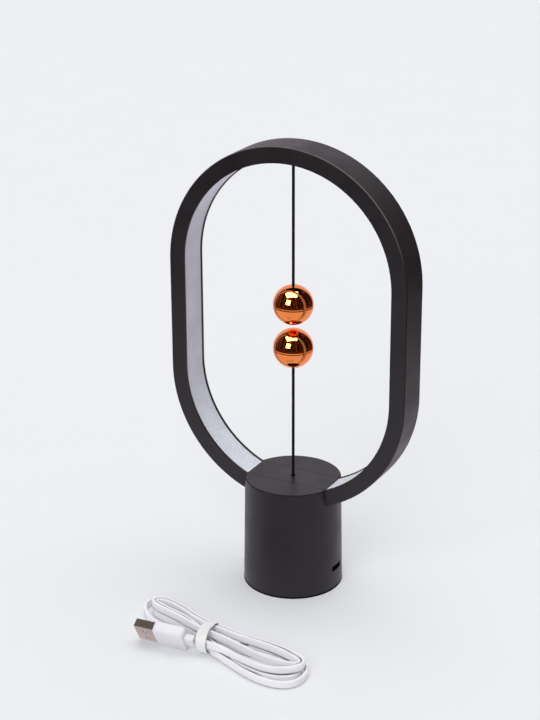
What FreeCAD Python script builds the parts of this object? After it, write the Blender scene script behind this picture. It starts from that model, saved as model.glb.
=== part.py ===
import FreeCAD, Part
import math
import os
import re

import Sketcher

# Magnetic balance lamp, in millimetres.
# The ring stands in the XZ plane on a round base whose underside centre is the origin.
# +Z is up and the front of the ring faces -Y. The charging port is on the +X side of the base.

V = FreeCAD.Vector
UP = V(0, 0, 1)
DOC = FreeCAD.newDocument("BalanceLamp")

# ---------------------------------------------------------------- driving dimensions

DIMENSIONS = (
    # ring: a stadium of channel section, open towards its middle
    ("ring_outer_radius", 68.85),
    ("ring_thickness", 8.75),
    ("ring_depth", 19.2),
    ("ring_straight", 60.05),
    ("ring_sink", 13.535),
    ("ring_back_wall", 1.5),
    ("ring_side_wall", 1.1),
    ("ring_end_gap", 26.6),
    ("ring_edge_chamfer", 0.4),
    # diffuser: a U section whose legs stand on the channel's floor
    ("diffuser_recess", 0.5),
    ("diffuser_plate", 1.2),
    ("diffuser_leg", 1.0),
    ("diffuser_play", 0.05),
    # light strip
    ("strip_width", 10.0),
    ("strip_thickness", 0.6),
    ("led_width", 2.8),
    ("led_length", 3.5),
    ("led_thickness", 0.8),
    ("led_pitch", 16.7),
    ("led_half_gap", 30.0),
    # base shell
    ("base_top_radius", 26.0),
    ("base_bottom_radius", 27.0),
    ("base_height", 61.0),
    ("base_wall", 2.0),
    ("base_rim_round", 0.5),
    ("foot_height", 1.0),
    ("foot_inset", 0.8),
    ("top_slot_width", 17.2),
    ("notch_clearance", 0.3),
    ("notch_corner", 1.3),
    ("part_play", 0.15),
    ("seat_gap", 0.03),
    # charging port and its board
    ("port_width", 9.5),
    ("port_height", 3.1),
    ("port_corner", 0.8),
    ("port_centre_height", 12.2),
    ("socket_width", 7.5),
    ("socket_height", 2.5),
    ("socket_length", 5.2),
    ("socket_wall", 0.3),
    ("socket_setback", 2.0),
    ("board_play", 0.4),
    ("board_thickness", 1.2),
    ("board_tongue_width", 8.4),
    ("board_tongue_play", 0.7),
    ("contact_thickness", 0.6),
    ("chip_x", -9.0),
    ("chip_length", 5.0),
    ("chip_width", 4.0),
    ("chip_height", 1.5),
    ("coil_radius", 2.4),
    ("coil_x", -6.0),
    ("coil_y", 9.0),
    ("small_part_width", 1.4),
    ("small_part_height", 0.6),
    # bottom cover, ballast and their posts
    ("cover_thickness", 2.0),
    ("ballast_thickness", 4.5),
    ("board_post_inset", 4.8),
    ("board_post_radius", 2.2),
    ("cover_post_inset", 2.8),
    ("cover_post_radius", 3.0),
    ("post_clamp_gap", 6.0),
    ("screw_radius", 1.1),
    ("screw_head_radius", 2.0),
    ("screw_head_height", 1.1),
    ("screw_end_room", 1.0),
    ("cover_screw_length", 10.0),
    ("board_screw_length", 5.0),
    ("clamp_screw_length", 18.0),
    ("bridge_screw_length", 13.0),
    # clamp that holds the ring under the top of the base
    ("clamp_play", 1.5),
    ("clamp_depth", 21.0),
    ("clamp_web", 3.7),
    ("clamp_cheek_drop", 8.0),
    ("clamp_boss_x", 10.0),
    ("clamp_boss_inset", 3.2),
    ("bridge_boss_half", 12.9),
    ("bridge_boss_depth", 3.0),
    ("bridge_screw_x", 9.0),
    # pull switch
    ("string_radius", 0.7),
    ("string_hole_radius", 1.4),
    ("bend_bead_radius", 0.95),
    ("bend_play", 0.05),
    ("guide_radius", 2.6),
    ("guide_height", 4.0),
    ("guide_hole_radius", 1.2),
    ("housing_radius", 6.5),
    ("housing_bore_radius", 4.5),
    ("housing_flange", 2.0),
    ("flange_end", 2.4),
    ("flange_width", 5.2),
    ("side_plate", 1.6),
    ("cap_depth", 2.2),
    ("slider_play", 0.3),
    ("spring_room", 8.0),
    ("slider_height", 4.0),
    ("slider_travel", 2.5),
    ("slider_stem_radius", 1.9),
    ("slider_stem_height", 4.0),
    ("slider_arm_reach", 10.0),
    ("slider_arm_width", 2.4),
    ("slider_arm_height", 2.0),
    ("spring_radius", 3.4),
    ("spring_wire_radius", 0.3),
    ("spring_turns", 4.5),
    ("lever_pivot_x", 19.5),
    ("lever_tip_x", 9.5),
    ("lever_thickness", 0.3),
    ("lever_width", 3.2),
    ("lever_pin_radius", 0.4),
    ("switch_length", 12.8),
    ("switch_width", 5.8),
    ("switch_body_height", 6.0),
    ("switch_overhang", 1.3),
    ("switch_lift", 0.9),
    ("switch_ear", 0.8),
    ("button_setback", 5.0),
    ("button_width", 1.2),
    ("terminal_start", 4.0),
    ("terminal_pitch", 3.5),
    ("terminal_length", 2.6),
    ("terminal_width", 1.6),
    ("terminal_thickness", 0.6),
    # wires from the strip to the board
    ("lead_radius", 0.45),
    ("lead_spacing", 1.0),
    ("lead_inset", 1.3),
    ("lead_path_y", 3.5),
    ("lead_room", 0.8),
    ("lead_tuck", 0.3),
    ("strip_end_inset", 0.5),
    # strings and balls
    ("ball_radius", 10.75),
    ("ball_gap", 2.6),
    ("upper_ball_rise", 12.46),
    ("ball_hole_radius", 0.8),
    ("ball_seam", 0.15),
    ("magnet_radius", 6.0),
    ("magnet_thickness", 5.0),
    ("magnet_pocket_depth", 7.0),
    ("magnet_play", 0.1),
    ("knot_radius", 1.6),
    ("knot_room_radius", 3.0),
    ("upper_bend_drop", 0.8),
    ("lower_bend_rise", 0.8),
    ("anchor_radius", 4.0),
    ("anchor_thickness", 1.4),
    # charging cable
    ("cable_radius", 1.9),
    ("hank_height", 8.8),
    ("tie_x", -3.4),
    ("tie_y", -88.3),
    ("tie_turn", 12.0),
    ("tie_front", 13.2),
    ("tie_back", 13.3),
    ("tie_width", 5.6),
    ("tie_thickness", 1.0),
    ("tie_play", 0.6),
    ("hank_corner", 6.0),
    ("plug_shell_width", 12.0),
    ("plug_shell_height", 4.5),
    ("plug_shell_reach", 10.7),
    ("plug_shell_wall", 0.3),
    ("plug_floor", 0.5),
    ("plug_tongue_setback", 0.6),
    ("latch_hole", 2.0),
    ("latch_start", 4.5),
    ("latch_spread", 5.3),
    ("plug_body_width", 14.4),
    ("plug_body_height", 6.8),
    ("plug_body_length", 17.2),
    ("plug_chamfer", 1.3),
    ("relief_width", 6.6),
    ("relief_height", 3.8),
    ("relief_length", 4.8),
    ("plug_tip_x", -37.6),
    ("plug_tip_y", -100.3),
    ("plug_axis_height", 7.35),
    ("plug_yaw", 3.4),
    ("plug_roll", 119.5),
    ("micro_tip_x", 12.0),
    ("micro_centre_y", -79.9),
    ("micro_lift", 0.1),
    ("micro_room", 0.4),
    ("micro_body_width", 9.6),
    ("micro_body_height", 4.1),
    ("micro_body_length", 14.0),
    ("micro_relief_height", 3.6),
    ("micro_shell_length", 6.4),
    ("micro_shell_width", 6.8),
    ("micro_shell_height", 1.8),
)

SIZES = DOC.addObject("Spreadsheet::Sheet", "Sizes")
for row, (alias, value) in enumerate(DIMENSIONS, start=1):
    SIZES.set(f"A{row}", alias)
    SIZES.set(f"B{row}", str(value))
    SIZES.setAlias(f"B{row}", alias)
DOC.recompute()

ALIASES = {alias for alias, _ in DIMENSIONS}

# Derived heights and radii, written once as expressions of the driving dimensions.
DERIVED = {
    # the ring's outside sinks this far below the top of the base
    "ring_centre_height": "(base_height - ring_sink + ring_outer_radius + ring_straight / 2)",
    "ring_inner_radius": "(ring_outer_radius - ring_thickness)",
    "floor_radius": "(ring_outer_radius - ring_back_wall)",
    "upper_arc_height": "(ring_centre_height + ring_straight / 2)",
    "lower_arc_height": "(ring_centre_height - ring_straight / 2)",
    "channel_width": "(ring_depth - 2 * ring_side_wall)",
    "diffuser_width": "(channel_width - 2 * diffuser_play)",
    # half the chord where the ring's inside meets the top of the base
    "diffuser_half_gap": "sqrt(ring_inner_radius ^ 2 - (lower_arc_height - base_height) ^ 2)",
    "diffuser_face_radius": "(ring_inner_radius + diffuser_recess)",
    "diffuser_back_radius": "(diffuser_face_radius + diffuser_plate)",
    "strip_face_radius": "(floor_radius - seat_gap - strip_thickness)",
    "top_plate_bottom": "(base_height - base_wall)",
    "shell_inner_bottom": "(base_bottom_radius - base_wall)",
    "shell_inner_top": "(base_top_radius - base_wall)",
    "cover_top": "(foot_height + cover_thickness)",
    "cover_post_circle": "(shell_inner_bottom - cover_post_inset)",
    "board_radius": "(cover_post_circle - cover_post_radius - board_play)",
    "board_post_circle": "(board_radius - board_post_inset)",
    "board_tongue_end": "(shell_inner_bottom - board_tongue_play)",
    "ballast_radius": "(board_radius - notch_clearance)",
    "board_top": "(port_centre_height - socket_height / 2)",
    "board_bottom": "(board_top - board_thickness)",
    # how far the wall leans in for each millimetre of height
    "wall_lean": "((base_bottom_radius - base_top_radius) / (base_height - foot_height))",
    "wall_at_port": "(base_bottom_radius - wall_lean * (port_centre_height - foot_height))",
    "socket_front": "(wall_at_port - socket_setback)",
    "bridge_width": "(channel_width - 2 * diffuser_play)",
    "bridge_half_length": "(diffuser_half_gap - 2 * diffuser_play)",
    "clamp_bottom": "(base_height - clamp_depth)",
    "clamp_cheek_top": "(base_height - clamp_cheek_drop)",
    "clamp_radius": "(shell_inner_top - clamp_play)",
    "clamp_boss_y": "sqrt((clamp_radius - clamp_boss_inset) ^ 2 - clamp_boss_x ^ 2)",
    "boss_bottom": "(clamp_bottom + clamp_web + notch_clearance)",
    "lead_path_x": "(ring_end_gap / 2 - lead_inset)",
    "lead_start_height": "(lower_arc_height - sqrt(strip_face_radius ^ 2 - (ring_end_gap / 2) ^ 2))",
    "upper_ball_height": "(ring_centre_height + upper_ball_rise)",
    "housing_roof": "(clamp_bottom - housing_flange)",
    "slider_top": "(housing_roof - spring_room)",
    "slider_bottom": "(slider_top - slider_height)",
    "slider_radius": "(housing_bore_radius - slider_play)",
    "slider_arm_top": "(slider_bottom + slider_arm_height)",
    "lever_bottom": "(slider_arm_top + slider_play)",
    "lever_pivot_z": "(lever_bottom + lever_thickness / 2)",
    "switch_bottom": "(lever_bottom + switch_lift)",
    "switch_start_x": "(lever_pivot_x + switch_overhang - switch_length)",
    "switch_top": "(switch_bottom + switch_body_height)",
    "housing_stop": "(slider_bottom - slider_travel - slider_play)",
    "housing_bottom": "(housing_stop - cap_depth)",
    "ring_top_inside": "(upper_arc_height + ring_inner_radius)",
    "diffuser_top_back": "(upper_arc_height + diffuser_back_radius)",
    "upper_pivot_height": "(ring_top_inside - upper_bend_drop)",
    "lower_pivot_height": "(base_height + slider_travel + lower_bend_rise)",
    "lower_ball_height": "(upper_ball_height - 2 * ball_radius - ball_gap)",
    "bead_socket_radius": "(bend_bead_radius + bend_play)",
    "anchor_bottom": "(diffuser_top_back + 2 * diffuser_play)",
    "anchor_top": "(anchor_bottom + anchor_thickness)",
    "knot_room_end": "(knot_radius * 4)",
    "tie_top": "(hank_height + tie_play + tie_thickness)",
    "plug_body_end": "(plug_shell_reach + plug_body_length)",
    "micro_body_x": "(micro_tip_x + micro_shell_length)",
    "micro_body_end": "(micro_body_x + micro_body_length)",
    "micro_end_x": "(micro_body_end + relief_length)",
    "micro_axis_height": "(micro_lift + micro_body_height / 2)",
    # how far a cutter runs past the face that it opens
    "overcut": "1",
}


def cells(text):
    """Expand derived names, then point each driving name at its cell in the sheet."""
    def expand(match):
        word = match.group(0)
        if word in DERIVED:
            return cells(DERIVED[word])
        return f"Sizes.{word}" if word in ALIASES else word
    return re.sub(r"(?<![\w.])[A-Za-z_]\w*", expand, str(text))


def size(text):
    """Number that an expression of the sheet's names has now."""
    return float(SIZES.evalExpression(cells(text)))


def bind(thing, **properties):
    """Bind properties to expressions. A double underscore stands for a dot."""
    for name, text in properties.items():
        thing.setExpression(name.replace("__", "."), cells(text))


def place(thing, x="0", y="0", z="0"):
    bind(thing, Placement__Base__x=x, Placement__Base__y=y, Placement__Base__z=z)


# ---------------------------------------------------------------- sketches

def body(name):
    new = DOC.addObject("PartDesign::Body", name)
    new.Label = name
    return new


def sketch_on(owner, role, name):
    """Sketch on one of the body's own origin planes, such as XZ_Plane."""
    sketch = owner.newObject("Sketcher::SketchObject", name)
    plane = next(item for item in owner.Origin.OriginFeatures if item.Role == role)
    sketch.AttachmentSupport = [(plane, "")]
    sketch.MapMode = "FlatFace"
    return sketch


def constrain(sketch, kind, *where_and_size):
    *where, text = where_and_size
    number = sketch.addConstraint(Sketcher.Constraint(kind, *where, size(text)))
    sketch.setExpression(f"Constraints[{number}]", cells(text))


def pin_point(sketch, geometry, position, x, y):
    """Hold one point of a sketch at (x, y), both given as expressions."""
    for axis, reference, text in (("X", -2, x), ("Y", -1, y)):
        if text == "0":
            sketch.addConstraint(Sketcher.Constraint("PointOnObject", geometry, position, reference))
        else:
            constrain(sketch, f"Distance{axis}", -1, 1, geometry, position, text)


def draw_circle(sketch, radius, x="0", y="0"):
    centre = V(size(x), size(y), 0)
    circle = sketch.addGeometry(Part.Circle(centre, UP, size(radius)))
    pin_point(sketch, circle, 3, x, y)
    constrain(sketch, "Radius", circle, radius)


def draw_polygon(sketch, corners):
    """Closed outline of straight lines through corners given as expressions."""
    points = [V(size(x), size(y), 0) for x, y in corners]
    lines = [sketch.addGeometry(Part.LineSegment(start, end))
             for start, end in zip(points, points[1:] + points[:1])]
    for line, following in zip(lines, lines[1:] + lines[:1]):
        sketch.addConstraint(Sketcher.Constraint("Coincident", line, 2, following, 1))
    for line, (x, y) in zip(lines, corners):
        pin_point(sketch, line, 1, x, y)


def draw_rectangle(sketch, left, right, bottom, top):
    draw_polygon(sketch, ((left, bottom), (right, bottom), (right, top), (left, top)))


def draw_stadium(sketch, radius):
    """Two half circles about the ring's arc centres, joined by upright straights."""
    high = V(0, size("upper_arc_height"), 0)
    low = V(0, size("lower_arc_height"), 0)
    reach = V(size(radius), 0, 0)
    top = sketch.addGeometry(Part.ArcOfCircle(Part.Circle(high, UP, size(radius)), 0, math.pi))
    foot = sketch.addGeometry(Part.ArcOfCircle(Part.Circle(low, UP, size(radius)), math.pi, 2 * math.pi))
    left = sketch.addGeometry(Part.LineSegment(high - reach, low - reach))
    right = sketch.addGeometry(Part.LineSegment(low + reach, high + reach))
    pin_point(sketch, top, 3, "0", "upper_arc_height")
    pin_point(sketch, foot, 3, "0", "lower_arc_height")
    constrain(sketch, "Radius", top, radius)
    sketch.addConstraint(Sketcher.Constraint("Equal", top, foot))
    for first, first_end, second, second_end in (
            (top, 2, left, 1), (left, 2, foot, 1), (foot, 2, right, 1), (right, 2, top, 1)):
        sketch.addConstraint(Sketcher.Constraint("Tangent", first, first_end, second, second_end))


def draw_rounded_bottom(sketch, half_width, bottom, top, corner):
    """Rectangle across the sketch's upright axis with its two lower corners rounded."""
    wide, low, high, bend = size(half_width), size(bottom), size(top), size(corner)
    line = Part.LineSegment
    floor = sketch.addGeometry(line(V(bend - wide, low, 0), V(wide - bend, low, 0)))
    right = sketch.addGeometry(line(V(wide, low + bend, 0), V(wide, high, 0)))
    roof = sketch.addGeometry(line(V(wide, high, 0), V(-wide, high, 0)))
    left = sketch.addGeometry(line(V(-wide, high, 0), V(-wide, low + bend, 0)))
    right_bend = sketch.addGeometry(Part.ArcOfCircle(
        Part.Circle(V(wide - bend, low + bend, 0), UP, bend), -math.pi / 2, 0))
    left_bend = sketch.addGeometry(Part.ArcOfCircle(
        Part.Circle(V(bend - wide, low + bend, 0), UP, bend), math.pi, 1.5 * math.pi))
    for first, first_end, second, second_end in (
            (floor, 2, right_bend, 1), (right_bend, 2, right, 1), (left, 2, left_bend, 1),
            (left_bend, 2, floor, 1)):
        sketch.addConstraint(Sketcher.Constraint("Tangent", first, first_end, second, second_end))
    sketch.addConstraint(Sketcher.Constraint("Coincident", right, 2, roof, 1))
    sketch.addConstraint(Sketcher.Constraint("Coincident", roof, 2, left, 1))
    sketch.addConstraint(Sketcher.Constraint("Horizontal", floor))
    constrain(sketch, "Radius", right_bend, corner)
    constrain(sketch, "DistanceY", -1, 1, floor, 1, bottom)
    pin_point(sketch, right, 2, half_width, top)
    pin_point(sketch, left, 1, f"-({half_width})", top)
    sketch.addConstraint(Sketcher.Constraint("Vertical", right))
    sketch.addConstraint(Sketcher.Constraint("Vertical", left))


# ---------------------------------------------------------------- features

def pad(owner, sketch, length, symmetric=True):
    feature = owner.newObject("PartDesign::Pad", f"{owner.Name}_pad")
    feature.Profile = sketch
    feature.Midplane = symmetric
    bind(feature, Length=length)
    sketch.Visibility = False
    return feature


def pocket(owner, sketch, length, symmetric=True, reverse=False):
    feature = owner.newObject("PartDesign::Pocket", f"{owner.Name}_pocket")
    feature.Profile = sketch
    feature.Midplane = symmetric
    feature.Reversed = reverse
    bind(feature, Length=length)
    sketch.Visibility = False
    return feature


def turned(owner, kind, sketch, axis):
    """Revolution or Groove of a sketch about an axis of that sketch."""
    feature = owner.newObject(f"PartDesign::{kind}", f"{owner.Name}_{kind.lower()}")
    feature.Profile = sketch
    feature.ReferenceAxis = (sketch, [axis])
    feature.Angle = 360
    sketch.Visibility = False
    return feature


def primitive(owner, kind, placement=("0", "0", "0"), **sizes):
    """PartDesign primitive, such as AdditiveCylinder, bound in size and place."""
    feature = owner.newObject(f"PartDesign::{kind}", f"{owner.Name}_{kind.lower()}")
    bind(feature, **sizes)
    place(feature, *placement)
    return feature


def cylinder(owner, radius, bottom, top, x="0", y="0", cut=False):
    """Upright cylinder added to a body, or cut from it."""
    kind = "SubtractiveCylinder" if cut else "AdditiveCylinder"
    return primitive(owner, kind, (x, y, bottom), Radius=radius, Height=f"({top}) - ({bottom})")


def box(owner, x_range, y_range, z_range, cut=False):
    """Box between expressions for its low and high sides, added or cut."""
    kind = "SubtractiveBox" if cut else "AdditiveBox"
    lows = (x_range[0], y_range[0], z_range[0])
    sides = [f"({high}) - ({low})" for low, high in (x_range, y_range, z_range)]
    return primitive(owner, kind, lows, Length=sides[0], Width=sides[1], Height=sides[2])


def edges_where(shape, test):
    return [f"Edge{number}" for number, edge in enumerate(shape.Edges, start=1) if test(edge)]


def chamfer(owner, test, amount):
    DOC.recompute()
    base = owner.Tip
    feature = owner.newObject("PartDesign::Chamfer", f"{owner.Name}_chamfer")
    feature.Base = (base, edges_where(base.Shape, test))
    bind(feature, Size=amount)
    return feature


def fillet(owner, test, amount):
    DOC.recompute()
    base = owner.Tip
    feature = owner.newObject("PartDesign::Fillet", f"{owner.Name}_fillet")
    feature.Base = (base, edges_where(base.Shape, test))
    bind(feature, Radius=amount)
    return feature


def ring_points(count, circle, start):
    """Evenly spaced places on a circle, as pairs of expressions."""
    for index in range(count):
        angle = start + index * 360 / count
        yield f"({circle}) * cos({angle} deg)", f"({circle}) * sin({angle} deg)"


def near(value, target):
    return abs(value - target) < 0.01


def on_height(edge, height):
    return near(edge.BoundBox.ZMin, height) and near(edge.BoundBox.ZMax, height)


# ---------------------------------------------------------------- ring and light

def ring_band(owner, name, outer, inner, width, cut=False):
    """Stadium band between two radii, as wide as given, added or cut."""
    sketch = sketch_on(owner, "XZ_Plane", name)
    draw_stadium(sketch, outer)
    draw_stadium(sketch, inner)
    return (pocket if cut else pad)(owner, sketch, width)


def open_bottom(owner, name, half_gap, width):
    """Cut the band away at the bottom, where the base takes its ends."""
    sketch = sketch_on(owner, "XZ_Plane", name)
    draw_rectangle(sketch, f"-({half_gap})", half_gap, "0", "lower_arc_height")
    return pocket(owner, sketch, width)


def make_ring_frame():
    """Channel bent to a stadium, open inwards, with its two ends inside the base."""
    ring = body("ring_frame")
    ring_band(ring, "ring_outline", "ring_outer_radius", "ring_inner_radius", "ring_depth")
    ring_band(ring, "channel_outline", "floor_radius", "ring_inner_radius - overcut",
              "channel_width", cut=True)
    open_bottom(ring, "ring_end_cut", "ring_end_gap / 2", "ring_depth + 2 * overcut")
    half_depth = size("ring_depth / 2")
    half_width = size("ring_outer_radius")
    clear_of_ends = size("ring_end_gap / 2 + overcut")

    def outer_edge(edge):
        box_ = edge.BoundBox
        flat = near(box_.YMin, box_.YMax) and near(abs(box_.YMin), half_depth)
        wide = max(abs(box_.XMin), abs(box_.XMax))
        high = near(box_.ZMax, size("upper_arc_height") + half_width)
        outside = near(wide, half_width)
        return flat and (outside or high) and wide > clear_of_ends
    chamfer(ring, outer_edge, "ring_edge_chamfer")


def make_diffuser():
    """Opal U section set just below the channel's rims, with a hole for the string."""
    diffuser = body("diffuser_strip")
    ring_band(diffuser, "diffuser_outline", "floor_radius - seat_gap", "diffuser_face_radius",
              "diffuser_width")
    ring_band(diffuser, "diffuser_hollow", "floor_radius + overcut", "diffuser_back_radius",
              "diffuser_width - 2 * diffuser_leg", cut=True)
    open_bottom(diffuser, "diffuser_end_cut", "diffuser_half_gap", "ring_depth")
    cylinder(diffuser, "string_hole_radius", "upper_arc_height", "diffuser_top_back + overcut", cut=True)


def make_led_strip():
    """Flexible board stuck on the channel's floor, running on under the bridge."""
    strip = body("led_strip_board")
    ring_band(strip, "strip_outline", "floor_radius - seat_gap", "strip_face_radius", "strip_width")
    open_bottom(strip, "strip_end_cut", "ring_end_gap / 2 + strip_end_inset", "ring_depth")


def stadium_place(distance, radius):
    """Point and turn about Y at a distance along the ring, from the top towards +X."""
    straight = size("ring_straight")
    arc = math.pi * radius / 2
    side = 1 if distance >= 0 else -1
    along = abs(distance)
    if along <= arc:
        angle = along / radius
        centre = size("upper_arc_height")
    elif along <= arc + straight:
        height = size("upper_arc_height") - (along - arc)
        return V(side * radius, 0, height), side * 90
    else:
        angle = (along - straight) / radius
        centre = size("lower_arc_height")
    turn = side * angle
    return V(radius * math.sin(turn), 0, centre + radius * math.cos(turn)), math.degrees(turn)


def make_leds():
    """Chips at an even pitch, none at the string's anchor or inside the base."""
    radius = size("strip_face_radius")
    pitch = size("led_pitch")
    length, width, height = size("led_length"), size("led_width"), size("led_thickness")
    whole = math.pi * radius + size("ring_straight")
    chips = []
    for side in (-1, 1):
        distance = pitch / 2
        while distance < whole:
            spot, turn = stadium_place(side * distance, radius)
            low = spot.z < size("lower_arc_height")
            if low and abs(spot.x) < size("led_half_gap"):
                break
            chip = Part.makeBox(length, width, height, V(-length / 2, -width / 2, -height - size("seat_gap")))
            chip.rotate(V(0, 0, 0), V(0, 1, 0), turn)
            chip.translate(spot)
            chips.append(chip)
            distance += pitch
    shape_node("led_chips", Part.makeCompound(chips))


def shape_node(name, shape):
    """Sub-part whose shape comes from Part's own functions, at sizes read from the sheet."""
    node = DOC.addObject("Part::Feature", name)
    node.Label = name
    node.Shape = shape
    return node


# ---------------------------------------------------------------- base

def make_base_shell():
    """Tapered round housing with a slotted top, windows for the ring and the port."""
    shell = body("base_shell")
    profile = sketch_on(shell, "XZ_Plane", "shell_profile")
    draw_polygon(profile, (
        ("base_bottom_radius", "foot_height"), ("base_top_radius", "base_height"),
        ("0", "base_height"), ("0", "top_plate_bottom"),
        ("shell_inner_top", "top_plate_bottom"), ("shell_inner_bottom", "foot_height")))
    turned(shell, "Revolution", profile, "V_Axis")
    fillet(shell, lambda edge: on_height(edge, size("base_height")), "base_rim_round")
    for x, y in ring_points(3, "cover_post_circle", 60):
        cylinder(shell, "cover_post_radius", "cover_top", "clamp_bottom - post_clamp_gap", x, y)
        cylinder(shell, "screw_radius", "cover_top - overcut",
                 "foot_height + cover_screw_length + screw_end_room", x, y, cut=True)
    for x in ("-clamp_boss_x", "clamp_boss_x"):
        for y in ("-clamp_boss_y", "clamp_boss_y"):
            cylinder(shell, "cover_post_radius", "clamp_cheek_top", "base_height - base_wall / 2", x, y)
            cylinder(shell, "screw_radius", "clamp_cheek_top - overcut",
                     "clamp_bottom - screw_head_height + clamp_screw_length + screw_end_room", x, y, cut=True)
    box(shell, ("-base_top_radius - overcut", "base_top_radius + overcut"),
        ("-top_slot_width / 2", "top_slot_width / 2"),
        ("top_plate_bottom - overcut", "base_height + overcut"), cut=True)
    notch = sketch_on(shell, "YZ_Plane", "ring_notch")
    draw_rounded_bottom(notch, "ring_depth / 2 + notch_clearance",
                        "lower_arc_height - ring_outer_radius - notch_clearance",
                        "lower_arc_height - ring_inner_radius + notch_clearance", "notch_corner")
    height = size("lower_arc_height")
    axis = notch.addGeometry(Part.LineSegment(V(-5, height, 0), V(5, height, 0)), True)
    pin_point(notch, axis, 1, "-5", "lower_arc_height")
    pin_point(notch, axis, 2, "5", "lower_arc_height")
    turned(shell, "Groove", notch, "Axis0")
    make_port_opening(shell)


def make_port_opening(shell):
    """Slot with round corners through the wall on the +X side."""
    port = sketch_on(shell, "YZ_Plane", "port_outline")
    half_width, half_height, bend = size("port_width / 2"), size("port_height / 2"), size("port_corner")
    middle = size("port_centre_height")
    corners = ((1, 1, 0), (-1, 1, 90), (-1, -1, 180), (1, -1, 270))
    arcs = []
    for x_side, y_side, start in corners:
        centre = V(x_side * (half_width - bend), middle + y_side * (half_height - bend), 0)
        circle = Part.Circle(centre, UP, bend)
        arcs.append(port.addGeometry(Part.ArcOfCircle(circle, math.radians(start), math.radians(start + 90))))
    for (x_side, y_side, _), arc in zip(corners, arcs):
        pin_point(port, arc, 3, f"{x_side} * (port_width / 2 - port_corner)",
                  f"port_centre_height + {y_side} * (port_height / 2 - port_corner)")
    for arc, following in zip(arcs, arcs[1:] + arcs[:1]):
        start = port.getPoint(arc, 2)
        end = port.getPoint(following, 1)
        line = port.addGeometry(Part.LineSegment(start, end))
        port.addConstraint(Sketcher.Constraint("Tangent", arc, 2, line, 1))
        port.addConstraint(Sketcher.Constraint("Tangent", line, 2, following, 1))
    constrain(port, "Radius", arcs[0], "port_corner")
    pocket(shell, port, "base_bottom_radius + overcut", symmetric=False, reverse=True)


def make_top_bridge():
    """Strip flush with the top, seated on the channel's floor, with a boss for the switch."""
    bridge = body("top_bridge")
    box(bridge, ("-bridge_half_length", "bridge_half_length"), ("-bridge_width / 2", "bridge_width / 2"),
        ("boss_bottom", "base_height"))
    below = sketch_on(bridge, "XZ_Plane", "below_floor")
    draw_circle(below, "floor_radius + base_top_radius", "0", "lower_arc_height")
    draw_circle(below, "floor_radius - seat_gap", "0", "lower_arc_height")
    pocket(bridge, below, "bridge_width + 2 * overcut")
    over_strip = sketch_on(bridge, "XZ_Plane", "over_strip")
    draw_circle(over_strip, "floor_radius + overcut", "0", "lower_arc_height")
    draw_circle(over_strip, "strip_face_radius - notch_clearance", "0", "lower_arc_height")
    pocket(bridge, over_strip, "strip_width + 2 * notch_clearance")
    box(bridge, ("-bridge_boss_half", "bridge_boss_half"), ("-bridge_width / 2", "bridge_width / 2"),
        ("boss_bottom", "base_height - bridge_boss_depth"))
    cylinder(bridge, "string_hole_radius", "boss_bottom - overcut", "base_height + overcut", cut=True)
    cylinder(bridge, "guide_radius + seat_gap", "boss_bottom - overcut", "boss_bottom + guide_height", cut=True)
    for x in ("-bridge_screw_x", "bridge_screw_x"):
        cylinder(bridge, "screw_radius", "boss_bottom - overcut",
                 "housing_roof - screw_head_height + bridge_screw_length + screw_end_room", x, "0", cut=True)
    box(bridge, ("lead_path_x - lead_room", "bridge_boss_half + overcut"),
        ("lead_path_y - lead_room", "lead_path_y + lead_spacing + lead_room"),
        ("boss_bottom - overcut", "lead_start_height + lead_radius + lead_room"), cut=True)


def make_string_guide():
    """Smooth bush pressed into the boss, where the string runs."""
    guide = body("string_guide")
    cylinder(guide, "guide_radius", "boss_bottom", "boss_bottom + guide_height")
    cylinder(guide, "guide_hole_radius", "boss_bottom - overcut", "boss_bottom + guide_height + overcut",
             cut=True)


def make_ring_clamp():
    """Saddle under the ring's ends, with cheeks on both sides and a web for the switch."""
    clamp = body("ring_clamp")
    cylinder(clamp, "clamp_radius", "clamp_bottom", "clamp_cheek_top")
    saddle = sketch_on(clamp, "XZ_Plane", "saddle")
    draw_circle(saddle, "ring_outer_radius + seat_gap", "0", "lower_arc_height")
    pocket(clamp, saddle, "ring_depth + notch_clearance")
    box(clamp, ("-ring_end_gap / 2", "ring_end_gap / 2"),
        ("-ring_depth / 2 - notch_clearance / 2", "ring_depth / 2 + notch_clearance / 2"),
        ("clamp_bottom + clamp_web", "clamp_cheek_top + overcut"), cut=True)
    cylinder(clamp, "string_hole_radius", "clamp_bottom - overcut", "clamp_cheek_top", cut=True)
    for x in ("-bridge_screw_x", "bridge_screw_x"):
        cylinder(clamp, "screw_radius + part_play", "clamp_bottom - overcut", "clamp_cheek_top", x, "0",
                 cut=True)
    for x in ("-clamp_boss_x", "clamp_boss_x"):
        for y in ("-clamp_boss_y", "clamp_boss_y"):
            cylinder(clamp, "screw_radius + part_play", "clamp_bottom - overcut",
                     "clamp_cheek_top + overcut", x, y, cut=True)
    box(clamp, ("lead_path_x - lead_room", "lead_path_x + lead_room"),
        ("lead_path_y - lead_room", "lead_path_y + lead_spacing + lead_room"),
        ("clamp_bottom - overcut", "clamp_cheek_top"), cut=True)


def make_bottom_cover():
    """Disc that closes the shell, with posts for the board and holes for its screws."""
    cover = body("bottom_cover")
    cylinder(cover, "shell_inner_bottom - part_play", "foot_height", "cover_top")
    for x, y in ring_points(3, "board_post_circle", 60):
        cylinder(cover, "board_post_radius", "cover_top", "board_bottom", x, y)
        cylinder(cover, "screw_radius", "board_top + screw_head_height - board_screw_length - screw_end_room",
                 "board_bottom + overcut", x, y, cut=True)
    for x, y in ring_points(3, "cover_post_circle", 60):
        cylinder(cover, "screw_radius + part_play", "foot_height - overcut", "cover_top + overcut", x, y,
                 cut=True)
        cylinder(cover, "screw_head_radius + part_play", "foot_height - overcut",
                 "foot_height + screw_head_height", x, y, cut=True)


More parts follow.
